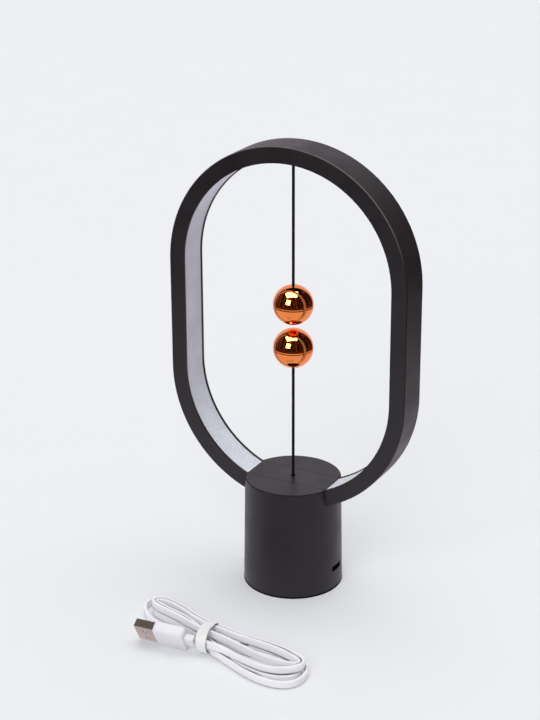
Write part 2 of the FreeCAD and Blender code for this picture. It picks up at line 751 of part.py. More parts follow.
def make_foot_pad():
    """Soft disc under the base, a little smaller than the shell."""
    pad_ = body("foot_pad")
    cylinder(pad_, "base_bottom_radius - foot_inset", "0", "foot_height")


def make_ballast():
    """Steel disc that keeps the tall ring steady, passed by the board's posts."""
    ballast = body("ballast_weight")
    cylinder(ballast, "ballast_radius", "cover_top", "cover_top + ballast_thickness")
    for x, y in ring_points(3, "board_post_circle", 60):
        cylinder(ballast, "board_post_radius + part_play", "cover_top - overcut",
                 "cover_top + ballast_thickness + overcut", x, y, cut=True)


def make_control_board():
    """Round board whose tongue carries the charging socket up to the wall."""
    board = body("control_board")
    cylinder(board, "board_radius", "board_bottom", "board_top")
    box(board, ("0", "board_tongue_end"), ("-board_tongue_width / 2", "board_tongue_width / 2"),
        ("board_bottom", "board_top"))
    for x, y in ring_points(3, "board_post_circle", 60):
        cylinder(board, "screw_radius + part_play", "board_bottom - overcut", "board_top + overcut", x, y,
                 cut=True)


def make_socket():
    """Micro-USB receptacle: a thin metal shell and the contact tongue inside."""
    shell = body("micro_usb_shell")
    half = "socket_width / 2"
    box(shell, ("socket_front - socket_length", "socket_front"), (f"-{half}", half),
        ("board_top", "board_top + socket_height"))
    chamfer(shell, lambda edge: on_height(edge, size("board_top")) and long_edge(edge), "socket_height / 4")
    depth = ("socket_front - socket_length + overcut", "socket_front + overcut")
    box(shell, depth, (f"-{half} + socket_wall", f"{half} - socket_wall"),
        ("board_top + socket_height / 4 + socket_wall", "board_top + socket_height - socket_wall"), cut=True)
    narrow = f"{half} - socket_height / 4 - socket_wall"
    box(shell, depth, (f"-({narrow})", narrow),
        ("board_top + socket_wall", "board_top + socket_height / 2"), cut=True)
    tongue = body("micro_usb_tongue")
    box(tongue, ("socket_front - socket_length + overcut", "socket_front - socket_height / 2"),
        ("-socket_width / 4", "socket_width / 4"),
        ("board_top + socket_height / 2", "board_top + socket_height / 2 + contact_thickness"))


# Small parts on the board: each one's middle in x and y, and its length along x.
SMALL_PARTS = ((0.6, -7.2, 3.2), (0.6, 7.2, 3.2), (-11.0, -4.6, 2.0), (6.5, -4.4, 2.0), (6.5, 4.6, 2.0))


def make_board_parts():
    """Driver chip, coil and the small parts around them, standing on the board."""
    chip = body("driver_chip")
    box(chip, ("chip_x", "chip_x + chip_length"), ("-chip_width / 2", "chip_width / 2"),
        ("board_top", "board_top + chip_height"))
    bottom = size("board_top")
    width, height = size("small_part_width"), size("small_part_height")
    parts = [Part.makeBox(length, width, height, V(x - length / 2, y - width / 2, bottom))
             for x, y, length in SMALL_PARTS]
    coil_radius = size("coil_radius")
    parts.append(Part.makeCylinder(coil_radius, coil_radius, V(size("coil_x"), size("coil_y"), bottom)))
    shape_node("board_components", Part.makeCompound(parts))


# ---------------------------------------------------------------- screws

def screw(x, y, head_face, length, up=True):
    """Screw with its head's face at a height, running up or down from there, with a driver socket."""
    head = size("screw_head_height")
    head_radius = size("screw_head_radius")
    direction = UP if up else -UP
    start = V(x, y, head_face)
    shank = Part.makeCylinder(size("screw_radius") - size("seat_gap"), length, start, direction)
    floor = start + direction * (head / 2)
    socket = Part.makeCone(head_radius / 3, head_radius / 2, head / 2, floor, -direction)
    return Part.makeCylinder(head_radius, head, start, direction).fuse(shank).cut(socket)


def make_screws():
    """Four groups of equal screws, each group one node of separate solids."""
    def circle_places(circle):
        return [(size(x), size(y)) for x, y in ring_points(3, circle, 60)]
    length = size("cover_screw_length")
    cover = [screw(x, y, size("foot_height"), length) for x, y in circle_places("cover_post_circle")]
    shape_node("cover_screws", Part.makeCompound(cover))
    head, length = size("board_top + screw_head_height"), size("board_screw_length")
    board = [screw(x, y, head, length, up=False) for x, y in circle_places("board_post_circle")]
    shape_node("board_screws", Part.makeCompound(board))
    head, length = size("clamp_bottom - screw_head_height"), size("clamp_screw_length")
    clamp_x, clamp_y = size("clamp_boss_x"), size("clamp_boss_y")
    clamp = [screw(x, y, head, length) for x in (-clamp_x, clamp_x) for y in (-clamp_y, clamp_y)]
    shape_node("clamp_screws", Part.makeCompound(clamp))
    head, length = size("housing_roof - screw_head_height"), size("bridge_screw_length")
    bridge = [screw(x, 0, head, length) for x in (-size("bridge_screw_x"), size("bridge_screw_x"))]
    shape_node("bridge_screws", Part.makeCompound(bridge))


# ---------------------------------------------------------------- tubes along a route

def arc_route(points, label):
    """Wire of straight runs joined by tangent arcs, each as large as its runs allow."""
    edges = []
    start = points[0]
    radii = []
    for before, corner, after in zip(points, points[1:], points[2:]):
        back = (before - corner).normalize()
        onward = (after - corner).normalize()
        half_turn = (math.pi - back.getAngle(onward)) / 2
        cut = 0.45 * min((before - corner).Length, (after - corner).Length)
        radius = cut / math.tan(half_turn)
        entry = corner + back * cut
        leave = corner + onward * cut
        middle_line = (back + onward).normalize()
        middle = corner + middle_line * (radius / math.cos(half_turn) - radius)
        edges.append(Part.makeLine(start, entry))
        edges.append(Part.Arc(entry, middle, leave).toShape())
        start = leave
        radii.append(round(radius, 1))
    edges.append(Part.makeLine(start, points[-1]))
    print(label, "bend radii from", min(radii), "to", max(radii))
    return Part.Wire(edges)


def tube(name, points, radius, sides=0):
    """Tube along a route, round or with flat sides, checked against its section times its length."""
    path = arc_route(points, name)
    first = path.Edges[0]
    direction = first.tangentAt(first.FirstParameter)
    if sides:
        turn = FreeCAD.Rotation(UP, direction)
        rim = [points[0] + turn.multVec(V(radius * math.cos(angle), radius * math.sin(angle), 0))
               for angle in (2 * math.pi * side / sides for side in range(sides))]
        profile = Part.makePolygon(rim + rim[:1])
        area = sides / 2 * radius ** 2 * math.sin(2 * math.pi / sides)
    else:
        profile = Part.Wire(Part.Circle(points[0], direction, radius).toShape())
        area = math.pi * radius ** 2
    solid = path.makePipeShell([profile], True, False)
    expected = area * path.Length
    assert abs(solid.Volume - expected) < 0.01 * expected, name
    return solid


# ---------------------------------------------------------------- pull switch

def make_switch_housing():
    """Tube under the clamp that guides the slider, with a side plate for the switch."""
    housing = body("switch_housing")
    cylinder(housing, "housing_radius", "housing_bottom", "clamp_bottom")
    box(housing, ("-bridge_screw_x - flange_end", "bridge_screw_x + flange_end"),
        ("-flange_width / 2", "flange_width / 2"), ("housing_roof", "clamp_bottom"))
    box(housing, ("0", "switch_start_x + switch_length"),
        ("-switch_width / 2 - side_plate", "-switch_width / 2"), ("switch_bottom", "switch_top"))
    cylinder(housing, "housing_bore_radius", "housing_bottom - overcut", "housing_roof", cut=True)
    cylinder(housing, "string_hole_radius", "housing_roof - overcut", "clamp_bottom + overcut", cut=True)
    for x in ("-bridge_screw_x", "bridge_screw_x"):
        cylinder(housing, "screw_radius + part_play", "housing_roof - overcut", "clamp_bottom + overcut",
                 x, "0", cut=True)
    half = "slider_arm_width / 2 + slider_play"
    box(housing, ("0", "housing_radius + overcut"), (f"-({half})", half),
        ("housing_stop", "slider_arm_top + slider_play"), cut=True)


def make_housing_cap():
    """Plug that closes the tube and stops the slider at the bottom of its travel."""
    cap = body("housing_cap")
    cylinder(cap, "housing_bore_radius - seat_gap", "housing_bottom", "housing_stop")
    cylinder(cap, "housing_radius", "housing_bottom - housing_flange / 2", "housing_bottom")


def make_pull_slider():
    """Piston that the string lifts. Its arm works the lever of the switch."""
    slider = body("pull_slider")
    cylinder(slider, "slider_radius", "slider_bottom", "slider_top")
    cylinder(slider, "slider_stem_radius", "slider_top", "slider_top + slider_stem_height")
    box(slider, ("0", "slider_arm_reach"), ("-slider_arm_width / 2", "slider_arm_width / 2"),
        ("slider_bottom", "slider_arm_top"))


def make_return_spring():
    """Compression spring between the tube's roof and the slider: six bends to a turn, six-sided wire."""
    bends = 6
    reach = size("spring_radius") / math.cos(math.pi / bends)
    bottom = size("slider_top + spring_wire_radius + seat_gap")
    top = size("housing_roof - spring_wire_radius - seat_gap")
    steps = round(bends * size("spring_turns"))
    points = []
    for step in range(steps + 1):
        angle = 2 * math.pi * step / bends
        height = bottom + (top - bottom) * step / steps
        points.append(V(reach * math.cos(angle), reach * math.sin(angle), height))
    shape_node("return_spring", tube("return_spring", points, size("spring_wire_radius"), sides=6))


def make_micro_switch():
    """Snap switch beside the tube: body, button, hinged lever and three terminals."""
    switch = body("switch_body")
    half = "switch_width / 2"
    box(switch, ("switch_start_x", "switch_start_x + switch_length"), (f"-{half}", half),
        ("switch_bottom", "switch_top"))
    ear_x = ("lever_pivot_x - switch_ear", "lever_pivot_x + switch_ear")
    for ear_y in ((f"-{half}", f"-{half} + switch_ear"), (f"{half} - switch_ear", half)):
        box(switch, ear_x, ear_y, ("lever_pivot_z - switch_ear", "switch_bottom + switch_body_height / 2"))
    button = body("switch_button")
    box(button, ("lever_pivot_x - button_setback - button_width", "lever_pivot_x - button_setback"),
        ("-button_width / 2", "button_width / 2"),
        ("lever_bottom + lever_thickness + part_play", "switch_bottom"))
    width, depth, length = size("terminal_thickness"), size("terminal_width"), size("terminal_length")
    first = size("switch_start_x + terminal_start")
    pins = [Part.makeBox(width, depth, length, V(first + place_ * size("terminal_pitch"), -depth / 2,
                                                 size("switch_top"))) for place_ in range(3)]
    shape_node("switch_terminals", Part.makeCompound(pins))
    make_switch_lever()


def make_switch_lever():
    """Leaf lever with a pin that turns between the two ears of the switch."""
    lever = body("switch_lever")
    box(lever, ("lever_tip_x", "lever_pivot_x"), ("-lever_width / 2", "lever_width / 2"),
        ("lever_bottom", "lever_bottom + lever_thickness"))
    half_pin = "switch_width / 2 - switch_ear - part_play"
    pin = primitive(lever, "AdditiveCylinder", Radius="lever_pin_radius", Height=f"2 * ({half_pin})")
    pin.Placement = FreeCAD.Placement(V(0, 0, 0), FreeCAD.Rotation(V(1, 0, 0), 90))
    place(pin, "lever_pivot_x", half_pin, "lever_pivot_z")


# ---------------------------------------------------------------- wires

def make_led_leads():
    """Two wires from the strip's end, down past the switch to the board."""
    wires = []
    for offset in (0, size("lead_spacing")):
        y = size("lead_path_y") + offset
        points = [
            V(size("ring_end_gap / 2 + lead_tuck"), y, size("lead_start_height")),
            V(size("lead_path_x"), y, size("lead_start_height - lead_radius")),
            V(size("lead_path_x"), y, size("board_top"))]
        wires.append(tube(f"led_lead_{len(wires)}", points, size("lead_radius")))
    shape_node("led_leads", Part.makeCompound(wires))


# ---------------------------------------------------------------- strings and balls

def make_ball_half(name, centre, side, holds_magnet):
    """Hollow half ball. side is 1 above the equator and -1 below it."""
    half = body(name)
    dome = primitive(half, "AdditiveSphere", ("0", "0", centre), Radius="ball_radius")
    dome.Angle1, dome.Angle2 = (0, 90) if side > 0 else (-90, 0)
    chamfer(half, lambda edge: on_height(edge, size(centre)), "ball_seam")
    if holds_magnet:
        span_from(half, "magnet_radius + magnet_play", centre, side, "0", "magnet_pocket_depth", cut=True)
    else:
        span_from(half, "magnet_radius", centre, -side, "0",
                  "magnet_pocket_depth - magnet_thickness - magnet_play / 2")
        span_from(half, "knot_room_radius", centre, side, "-magnet_pocket_depth", "knot_room_end", cut=True)
        span_from(half, "ball_hole_radius", centre, side, "0", "ball_radius + overcut", cut=True)
    return half


def span_from(owner, radius, centre, side, near_end, far_end, cut=False):
    """Cylinder on the axis between two distances from a ball's centre, on one side of it."""
    if side > 0:
        low, high = f"{centre} + ({near_end})", f"{centre} + ({far_end})"
    else:
        low, high = f"{centre} - ({far_end})", f"{centre} - ({near_end})"
    return cylinder(owner, radius, low, high, cut=cut)


def make_ball(name, centre, string_side):
    """Ball of two halves. The string enters one, and the other holds the magnet."""
    sides = {1: "top", -1: "bottom"}
    make_ball_half(f"{name}_{sides[string_side]}", centre, string_side, holds_magnet=False)
    make_ball_half(f"{name}_{sides[-string_side]}", centre, -string_side, holds_magnet=True)
    magnet = body(name.replace("ball", "magnet"))
    span_from(magnet, "magnet_radius", centre, -string_side,
              "magnet_pocket_depth - magnet_thickness", "magnet_pocket_depth")


def bead_cut(shape, pivot):
    """Hollow the end of a string round the bead on which it bends."""
    return shape.cut(Part.makeSphere(size("bead_socket_radius"), V(0, 0, pivot)))


def make_strings():
    """Two cords, each with a knot at its fixed end, a bead at its bend and a knot in the ball."""
    radius = size("string_radius")
    knot = size("knot_radius")

    def cord(low, high):
        return Part.makeCylinder(radius, high - low, V(0, 0, low))

    upper = size("upper_pivot_height")
    tail_knot = size("anchor_top + knot_radius")
    shape_node("upper_string_tail", bead_cut(cord(upper, tail_knot), upper).fuse(
        Part.makeSphere(knot, V(0, 0, tail_knot))))
    shape_node("upper_string_bend", Part.makeSphere(size("bend_bead_radius"), V(0, 0, upper)))
    ball_knot = size("upper_ball_height + knot_room_end - knot_radius")
    shape_node("upper_string", bead_cut(cord(ball_knot, upper), upper).fuse(
        Part.makeSphere(knot, V(0, 0, ball_knot))))

    lower = size("lower_pivot_height")
    tail_start = size("slider_top + slider_stem_height")
    shape_node("lower_string_tail", bead_cut(cord(tail_start, lower), lower))
    shape_node("lower_string_bend", Part.makeSphere(size("bend_bead_radius"), V(0, 0, lower)))
    ball_knot = size("lower_ball_height - knot_room_end + knot_radius")
    shape_node("lower_string", bead_cut(cord(lower, ball_knot), lower).fuse(
        Part.makeSphere(knot, V(0, 0, ball_knot))))


def make_string_anchor():
    """Washer on the back of the diffuser that the upper string's knot rests on."""
    anchor = body("string_anchor")
    cylinder(anchor, "anchor_radius", "anchor_bottom", "anchor_top")
    cylinder(anchor, "string_radius + part_play", "anchor_bottom - overcut", "anchor_top + overcut", cut=True)


# ---------------------------------------------------------------- charging cable

# Corners of the tied hank on the table, anticlockwise seen from above, before they are rounded.
HANK_CORNERS = (
    (-53.0, -78.0), (-30.0, -87.0), (-4.0, -92.8), (25.0, -104.6), (52.5, -109.0), (58.5, -95.5),
    (53.0, -85.0), (38.0, -80.6), (6.0, -78.4), (-9.0, -77.0), (-37.0, -62.6), (-49.5, -57.6),
    (-57.0, -65.0))


def make_cable_hank():
    """Closed solid of the hank's outer shape, hollowed underneath for its tie and the plug tucked in there."""
    hank = body("cable_hank")
    outline = sketch_on(hank, "XY_Plane", "hank_outline")
    draw_polygon(outline, [(str(x), str(y)) for x, y in HANK_CORNERS])
    pad(hank, outline, "hank_height", symmetric=False)
    fillet(hank, lambda edge: edge.BoundBox.ZLength > 1, "hank_corner")
    fillet(hank, lambda edge: on_height(edge, size("hank_height")), "cable_radius")
    groove = sketch_on(hank, "XY_Plane", "tie_groove")
    side, past = "(tie_width / 2 + part_play)", "tie_width"
    draw_polygon(groove, (
        beside_tie(f"-{side}", f"-tie_front - {past}"), beside_tie(side, f"-tie_front - {past}"),
        beside_tie(side, f"tie_back + {past}"), beside_tie(f"-{side}", f"tie_back + {past}")))
    pocket(hank, groove, "tie_thickness + part_play", symmetric=False, reverse=True)
    side = "micro_body_width / 2 + micro_room"
    box(hank, ("micro_tip_x - micro_room", "micro_end_x + part_play"),
        (f"micro_centre_y - ({side})", f"micro_centre_y + {side}"),
        ("-overcut", "micro_lift + micro_body_height + micro_room"), cut=True)


def beside_tie(across, along):
    """Place on the table at a distance across and along the turned tie, as a pair of expressions."""
    cosine, sine = "cos(tie_turn * 1 deg)", "sin(tie_turn * 1 deg)"
    return (f"tie_x + ({across}) * {cosine} - ({along}) * {sine}",
            f"tie_y + ({across}) * {sine} + ({along}) * {cosine}")


def make_cable_tie():
    """Silicone band round the middle of the hank and the plug's tail, a little askew."""
    tie = body("cable_tie")
    outer = sketch_on(tie, "YZ_Plane", "tie_outer")
    draw_rectangle(outer, "-tie_front", "tie_back", "0", "tie_top")
    pad(tie, outer, "tie_width")
    inner = sketch_on(tie, "YZ_Plane", "tie_inner")
    draw_rectangle(inner, "-tie_front + tie_thickness", "tie_back - tie_thickness", "tie_thickness",
                   "tie_top - tie_thickness")
    pocket(tie, inner, "tie_width * 2")
    tie.Placement = FreeCAD.Placement(V(size("tie_x"), size("tie_y"), 0), FreeCAD.Rotation(UP, size("tie_turn")))


def plug_node(name, build):
    """Body drawn along +X from the plug's tip, then laid where the plug lies."""
    node = body(name)
    build(node)
    turn = FreeCAD.Rotation(UP, size("plug_yaw")).multiply(FreeCAD.Rotation(V(1, 0, 0), size("plug_roll")))
    node.Placement = FreeCAD.Placement(
        V(size("plug_tip_x"), size("plug_tip_y"), size("plug_axis_height")), turn)
    return node


def centred_box(owner, start, end, width, height, cut=False):
    """Box along X about the plug's own axis."""
    return box(owner, (start, end), (f"-({width}) / 2", f"({width}) / 2"),
               (f"-({height}) / 2", f"({height}) / 2"), cut=cut)


def long_edge(edge):
    return edge.BoundBox.XLength > 2 and edge.BoundBox.YLength < 0.01 and edge.BoundBox.ZLength < 0.01


def build_plug_shell(node):
    wall = "plug_shell_wall"
    centred_box(node, "0", "plug_shell_reach", "plug_shell_width", "plug_shell_height")
    centred_box(node, "-overcut", "plug_shell_reach - plug_floor", f"plug_shell_width - 2 * {wall}",
                f"plug_shell_height - 2 * {wall}", cut=True)
    for height in ("-plug_shell_height", "0"):
        for middle in ("-latch_spread / 2", "latch_spread / 2"):
            box(node, ("latch_start", "latch_start + latch_hole"),
                (f"{middle} - latch_hole / 2", f"{middle} + latch_hole / 2"),
                (height, f"{height} + plug_shell_height"), cut=True)


def build_plug_tongue(node):
    half = "plug_shell_width / 2 - plug_shell_wall - seat_gap"
    box(node, ("plug_tongue_setback", "plug_shell_reach - plug_floor"), (f"-({half})", half),
        ("plug_shell_wall", "plug_shell_height / 2 - plug_shell_wall - seat_gap"))


def build_plug_body(node):
    centred_box(node, "plug_shell_reach", "plug_body_end", "plug_body_width", "plug_body_height")
    chamfer(node, long_edge, "plug_chamfer")


def build_plug_relief(node):
    centred_box(node, "plug_body_end", "plug_body_end + relief_length", "relief_width", "relief_height")
    chamfer(node, long_edge, "plug_chamfer / 2")


def make_usb_plug():
    """USB-A plug lying on the edge of its body in front of the hank."""
    plug_node("usb_plug_shell", build_plug_shell)
    plug_node("usb_plug_tongue", build_plug_tongue)
    plug_node("usb_plug_body", build_plug_body)
    relief = plug_node("usb_strain_relief", build_plug_relief)
    tail = relief.Placement.multVec(V(size("plug_body_end + relief_length"), 0, 0))
    axis = relief.Placement.Rotation.multVec(V(1, 0, 0))
    points = [tail, tail + axis * 3.4, V(2.4, -95.6, 6.2), V(6.0, -92.8, 5.0)]
    shape_node("usb_plug_tail", tube("usb_plug_tail", points, size("cable_radius")))


def make_micro_plug():
    """Micro-USB end of the cable, tucked under the strands at the back of the hank."""
    plug = body("micro_plug_body")
    box(plug, ("micro_body_x", "micro_body_end"),
        ("micro_centre_y - micro_body_width / 2", "micro_centre_y + micro_body_width / 2"),
        ("micro_lift", "micro_lift + micro_body_height"))
    chamfer(plug, long_edge, "plug_chamfer / 2")
    box(plug, ("micro_body_end", "micro_end_x"),
        ("micro_centre_y - relief_height / 2", "micro_centre_y + relief_height / 2"),
        ("micro_axis_height - micro_relief_height / 2", "micro_axis_height + micro_relief_height / 2"))
    shell = body("micro_plug_shell")
    wall = "plug_shell_wall"
    side, rise = "micro_shell_width / 2", "micro_shell_height / 2"
    box(shell, ("micro_tip_x", "micro_body_x"), (f"micro_centre_y - {side}", f"micro_centre_y + {side}"),
        (f"micro_axis_height - {rise}", f"micro_axis_height + {rise}"))
    box(shell, ("micro_tip_x - overcut", f"micro_body_x - 2 * {wall}"),
        (f"micro_centre_y - {side} + {wall}", f"micro_centre_y + {side} - {wall}"),
        (f"micro_axis_height - {rise} + {wall}", f"micro_axis_height + {rise} - {wall}"), cut=True)
    end = V(size("micro_end_x"), size("micro_centre_y"), size("micro_axis_height"))
    points = [end, end + V(4.0, 0, 0), V(45.5, -83.6, 2.2), V(49.0, -87.0, 2.2)]
    shape_node("micro_plug_tail", tube("micro_plug_tail", points, size("cable_radius")))


# ---------------------------------------------------------------- build and write

def main():
    make_ring_frame()
    make_diffuser()
    make_led_strip()
    make_leds()
    make_base_shell()
    make_top_bridge()
    make_string_guide()
    make_ring_clamp()
    make_bottom_cover()
    make_foot_pad()
    make_ballast()
    make_control_board()
    make_socket()
    make_board_parts()
    make_screws()
    make_switch_housing()
    make_housing_cap()
    make_pull_slider()
    make_return_spring()
    make_micro_switch()
    make_led_leads()
    make_string_anchor()
    make_strings()
    make_ball("upper_ball", "upper_ball_height", 1)
    make_ball("lower_ball", "lower_ball_height", -1)
    make_cable_hank()
    make_cable_tie()
    make_usb_plug()
    make_micro_plug()
    DOC.recompute()
    write_parts()


def write_parts():
    """Check every object and sub-part, then write one STEP file for each sub-part."""
    failed = [item.Name for item in DOC.Objects if "Invalid" in item.State or "Error" in item.State]
    assert not failed, failed
    nodes = [item for item in DOC.Objects if item.TypeId in ("PartDesign::Body", "Part::Feature")]
    os.makedirs("parts", exist_ok=True)
    for node in nodes:
        shape = node.Shape
        assert not shape.isNull() and shape.isValid() and shape.Volume > 0, node.Label
        shape.exportStep(f"parts/{node.Label}.step")
    print(len(nodes), "sub-parts")


main()
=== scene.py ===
import math

import bmesh
import bpy
import numpy as np
from mathutils import Matrix, Vector


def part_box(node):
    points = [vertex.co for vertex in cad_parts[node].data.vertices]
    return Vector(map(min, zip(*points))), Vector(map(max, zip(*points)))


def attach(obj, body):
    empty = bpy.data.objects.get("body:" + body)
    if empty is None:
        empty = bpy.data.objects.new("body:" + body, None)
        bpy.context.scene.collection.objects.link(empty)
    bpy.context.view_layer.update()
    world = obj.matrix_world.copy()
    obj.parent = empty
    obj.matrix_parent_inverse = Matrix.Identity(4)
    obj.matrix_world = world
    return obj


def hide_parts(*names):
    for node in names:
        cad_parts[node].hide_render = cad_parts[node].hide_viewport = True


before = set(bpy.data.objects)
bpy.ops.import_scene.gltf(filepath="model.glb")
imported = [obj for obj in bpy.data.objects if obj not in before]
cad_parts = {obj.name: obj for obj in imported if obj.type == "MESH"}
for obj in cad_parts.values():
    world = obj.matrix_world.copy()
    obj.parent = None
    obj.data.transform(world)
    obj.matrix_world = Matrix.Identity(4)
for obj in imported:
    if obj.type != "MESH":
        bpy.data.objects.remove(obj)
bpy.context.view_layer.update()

bl_info = {
    "name": "Magnetic balance lamp",
    "version": (1, 0, 0),
    "blender": (4, 5, 0),
    "location": "3D View > Sidebar > Balance Lamp",
    "description": "Dresses the frame of a ring lamp with two magnetic balls and its charging cable",
    "category": "Object",
}

MM = 0.001

# -------- settings


def length(name, description, default, low=0.0, high=1.0):
    """Length property in metres, shown to the hundredth of a millimetre."""
    return bpy.props.FloatProperty(name=name, description=description, default=default, min=low, max=high,
                                   subtype="DISTANCE", unit="LENGTH", precision=5)


def camera_angle(name, description, degrees):
    """Angle property, whose default is given in degrees."""
    return bpy.props.FloatProperty(name=name, description=description, default=math.radians(degrees),
                                   subtype="ANGLE", unit="ROTATION")


def strength(name, description, default):
    """Property for the strength of a light or of a card that glows."""
    return bpy.props.FloatProperty(name=name, description=description, default=default, min=0.0)


def colour(name, description, default):
    """Colour property as sRGB hex text, so that it reads as it is written."""
    return bpy.props.StringProperty(name=name, description=description, default=default)


class LampSizes(bpy.types.PropertyGroup):
    """Sizes of the pieces that this file makes."""
    string_radius: length("String radius", "Half the thickness of the two braided strings", 0.00079)
    braid_pitch: length("Braid pitch", "Length of one turn of a strand round the string", 0.0052)
    braid_depth: length("Braid depth", "How far the strands stand out of the braid", 0.00009)
    ball_radius: length("Ball radius", "Radius of both mirror balls", 0.01075)
    ball_seam: length("Ball seam", "Height of each half's bevel at the seam of a ball", 0.00035)
    cable_width: length("Cable width", "Width of the flat cable, which stands on edge", 0.0042)
    cable_thickness: length("Cable thickness", "Thickness of the flat cable", 0.00165)
    tie_width: length("Tie width", "Width of the silicone band along the cable", 0.0056)
    tie_thickness: length("Tie thickness", "Thickness of the silicone band", 0.0008)
    foot_swell: length("Foot swell", "How far the soft foot stands out past its pad", 0.0009)
    foot_roll: length("Foot roll", "Radius of the foot's lower edge", 0.00015)
    floor_size: length("Floor size", "Radius of the floor round the lamp", 4.0, high=20.0)


class LampColours(bpy.types.PropertyGroup):
    """Colours of the finishes, in sRGB hex."""
    coat: colour("Ring coat", "Matt black coating of the ring", "#1F1B1F")
    housing: colour("Base", "Matt black moulding of the base", "#19151A")
    opal: colour("Diffuser", "Opal strip inside the ring", "#C7C9D3")
    copper: colour("Balls", "Copper coloured mirror plating", "#F9924E")
    braid: colour("Strings", "Braided string", "#0F0E10")
    cable: colour("Cable", "Jacket of the charging cable", "#EEEDF1")
    overmould: colour("Plug bodies", "Moulding over the cable's plugs", "#E3E2E8")
    tie: colour("Tie", "Milky silicone band", "#E6E7E4")
    nickel: colour("Plug", "Nickel plated shell of the plugs", "#B9ADA6")
    backdrop: colour("Backdrop", "Floor and background", "#EEF0F2")
    gloss: colour("Gloss", "Pale floor and background as gloss shows them", "#F0E9F0")
    room: colour("Room", "Dim room that gloss shows in front of the lamp and above it", "#4A3634")


class LampStage(bpy.types.PropertyGroup):
    """Camera and light."""
    lens: bpy.props.FloatProperty(name="Lens", description="Focal length in millimetres", default=90.69,
                                  subtype="DISTANCE_CAMERA")
    azimuth: camera_angle("Azimuth", "Turn of the camera about the lamp", 28.327)
    elevation: camera_angle("Elevation", "How far the camera looks down", 21.338)
    roll: camera_angle("Roll", "Turn of the camera about its own line of sight", -0.244)
    position: bpy.props.FloatVectorProperty(name="Position", description="Place of the camera",
                                            default=(0.41197, -0.79009, 0.47590), subtype="TRANSLATION",
                                            unit="LENGTH")
    ambient: strength("Ambient", "Strength of the light from all round", 0.40)
    key: strength("Key", "Strength of the wide light from above and behind", 1.6)
    fill: strength("Fill", "Strength of the light from in front", 1.4)
    shine: strength("Shine", "Strength of the softboxes that the balls show", 11.0)
    ceiling: strength("Ceiling", "Strength of the ceiling that the other pieces show", 0.6)


SETTINGS = {"lamp_sizes": LampSizes, "lamp_colours": LampColours, "lamp_stage": LampStage}


def settings():
    """The scene's sizes, colours and stage."""
    return [getattr(bpy.context.scene, name) for name in SETTINGS]


# -------- materials


def linear(code):
    """Linear RGBA of an sRGB hex colour such as #EEF0F2."""
    channels = [int(code[place:place + 2], 16) / 255 for place in (1, 3, 5)]
    return tuple(c / 12.92 if c <= 0.04045 else ((c + 0.055) / 1.055) ** 2.4 for c in channels) + (1.0,)


def add_node(tree, kind, inputs=None, **options):
    """Adds a shader node with its options, and sets each input to a value or links it to a socket.

    A node given as an input stands for its first output.
    """
    node = tree.nodes.new("ShaderNode" + kind)
    for name, value in options.items():
        setattr(node, name, value)
    for key, value in (inputs or {}).items():
        if isinstance(value, bpy.types.Node):
            value = value.outputs[0]
        if isinstance(value, bpy.types.NodeSocket):
            tree.links.new(value, node.inputs[key])
        else:
            node.inputs[key].default_value = value
    return node


def blank_material(name):
    """Material without any node, and its tree."""
    material = bpy.data.materials.new(name)
    material.use_nodes = True
    material.node_tree.nodes.clear()
    return material, material.node_tree


def per_mm(size):
    """Texture scale whose features are about that many millimetres across."""
    return 1 / (size * MM)


def tint(code, factor):
    """Hex colour made darker or lighter by a factor."""
    values = [min(255, max(0, round(int(code[place:place + 2], 16) * factor))) for place in (1, 3, 5)]
    return "#" + "".join(f"{value:02X}" for value in values)


# -------- layers over a finish

# Each layer takes a node tree and the socket of its Object coordinates. It returns how much of it shows, as a
# node, and its colour, as a value or a node.

# Colours of the layers: black for painted shade in corners and the front gap and for the dark seams, grey for
# painted shade between strands, pale dust, black for painted shade on the ring's chamfers, grey for the
# painted highlight along its upper outer edge.
SHADE_AND_SEAM_BLACK, STRAND_SHADE_GREY, DUST, CHAMFER_SHADE_BLACK, EDGE_HIGHLIGHT_GREY = "#050405", "#86848D", "#F4FAFF", "#080708", "#665E61"
# Share of open air over a clean face and where the painted shade is fullest, and how much the painted shade
# covers there.
OPEN_FACE, DEEP_CORNER, SHADE_COVER = 0.9, 0.5, 0.9
# Size of the dust's clumps in mm, the noise values over which they come in, how much thin and thick dust
# covers, and the upward share of the normal from which dust lies full.
DUST_GRAIN, DUST_RANGE = 0.9, {"From Min": 0.4, "From Max": 0.6}
DUST_THIN, DUST_THICK, DUST_SLOPE = 0.2, 0.55, 0.7
# Width of the painted shade along the diffuser's front gap, in mm.
GAP_SHADE_WIDTH = 0.9
# Forward share of a chamfer's normal and how far it varies, the upward shares of it from which the chamfer's
# painted highlight starts and is full, and the height in metres above which it is painted.
CHAMFER, CHAMFER_SPREAD = math.sqrt(0.5), 0.12
HIGHLIGHT_START, HIGHLIGHT_FULL, HIGHLIGHT_ABOVE = 0.1, 0.4, 0.18
# Least upward share of the flat top's normal, and in mm how far the seam's middle is from the bridge's side
# and half its width.
FLAT_TOP, SEAM_BESIDE, SEAM_HALF = 0.9, 0.08, 0.22


def corner_shade(tree, place, code=SHADE_AND_SEAM_BLACK, reach=1.0):
    """Painted shade: nearly black, or nearly the given colour, in corners closer than the reach in
    millimetres.
    """
    open_air = add_node(tree, "AmbientOcclusion", {"Distance": reach * MM}, samples=6)
    corner = add_node(tree, "MapRange", {"Value": open_air.outputs["AO"], "From Min": OPEN_FACE,
                                         "From Max": DEEP_CORNER, "To Max": SHADE_COVER})
    return corner, linear(code)


def strand_gap_shade(tree, place):
    """Painted grey shade in the tight gaps between strands, where they press together."""
    return corner_shade(tree, place, STRAND_SHADE_GREY, reach=1.3)


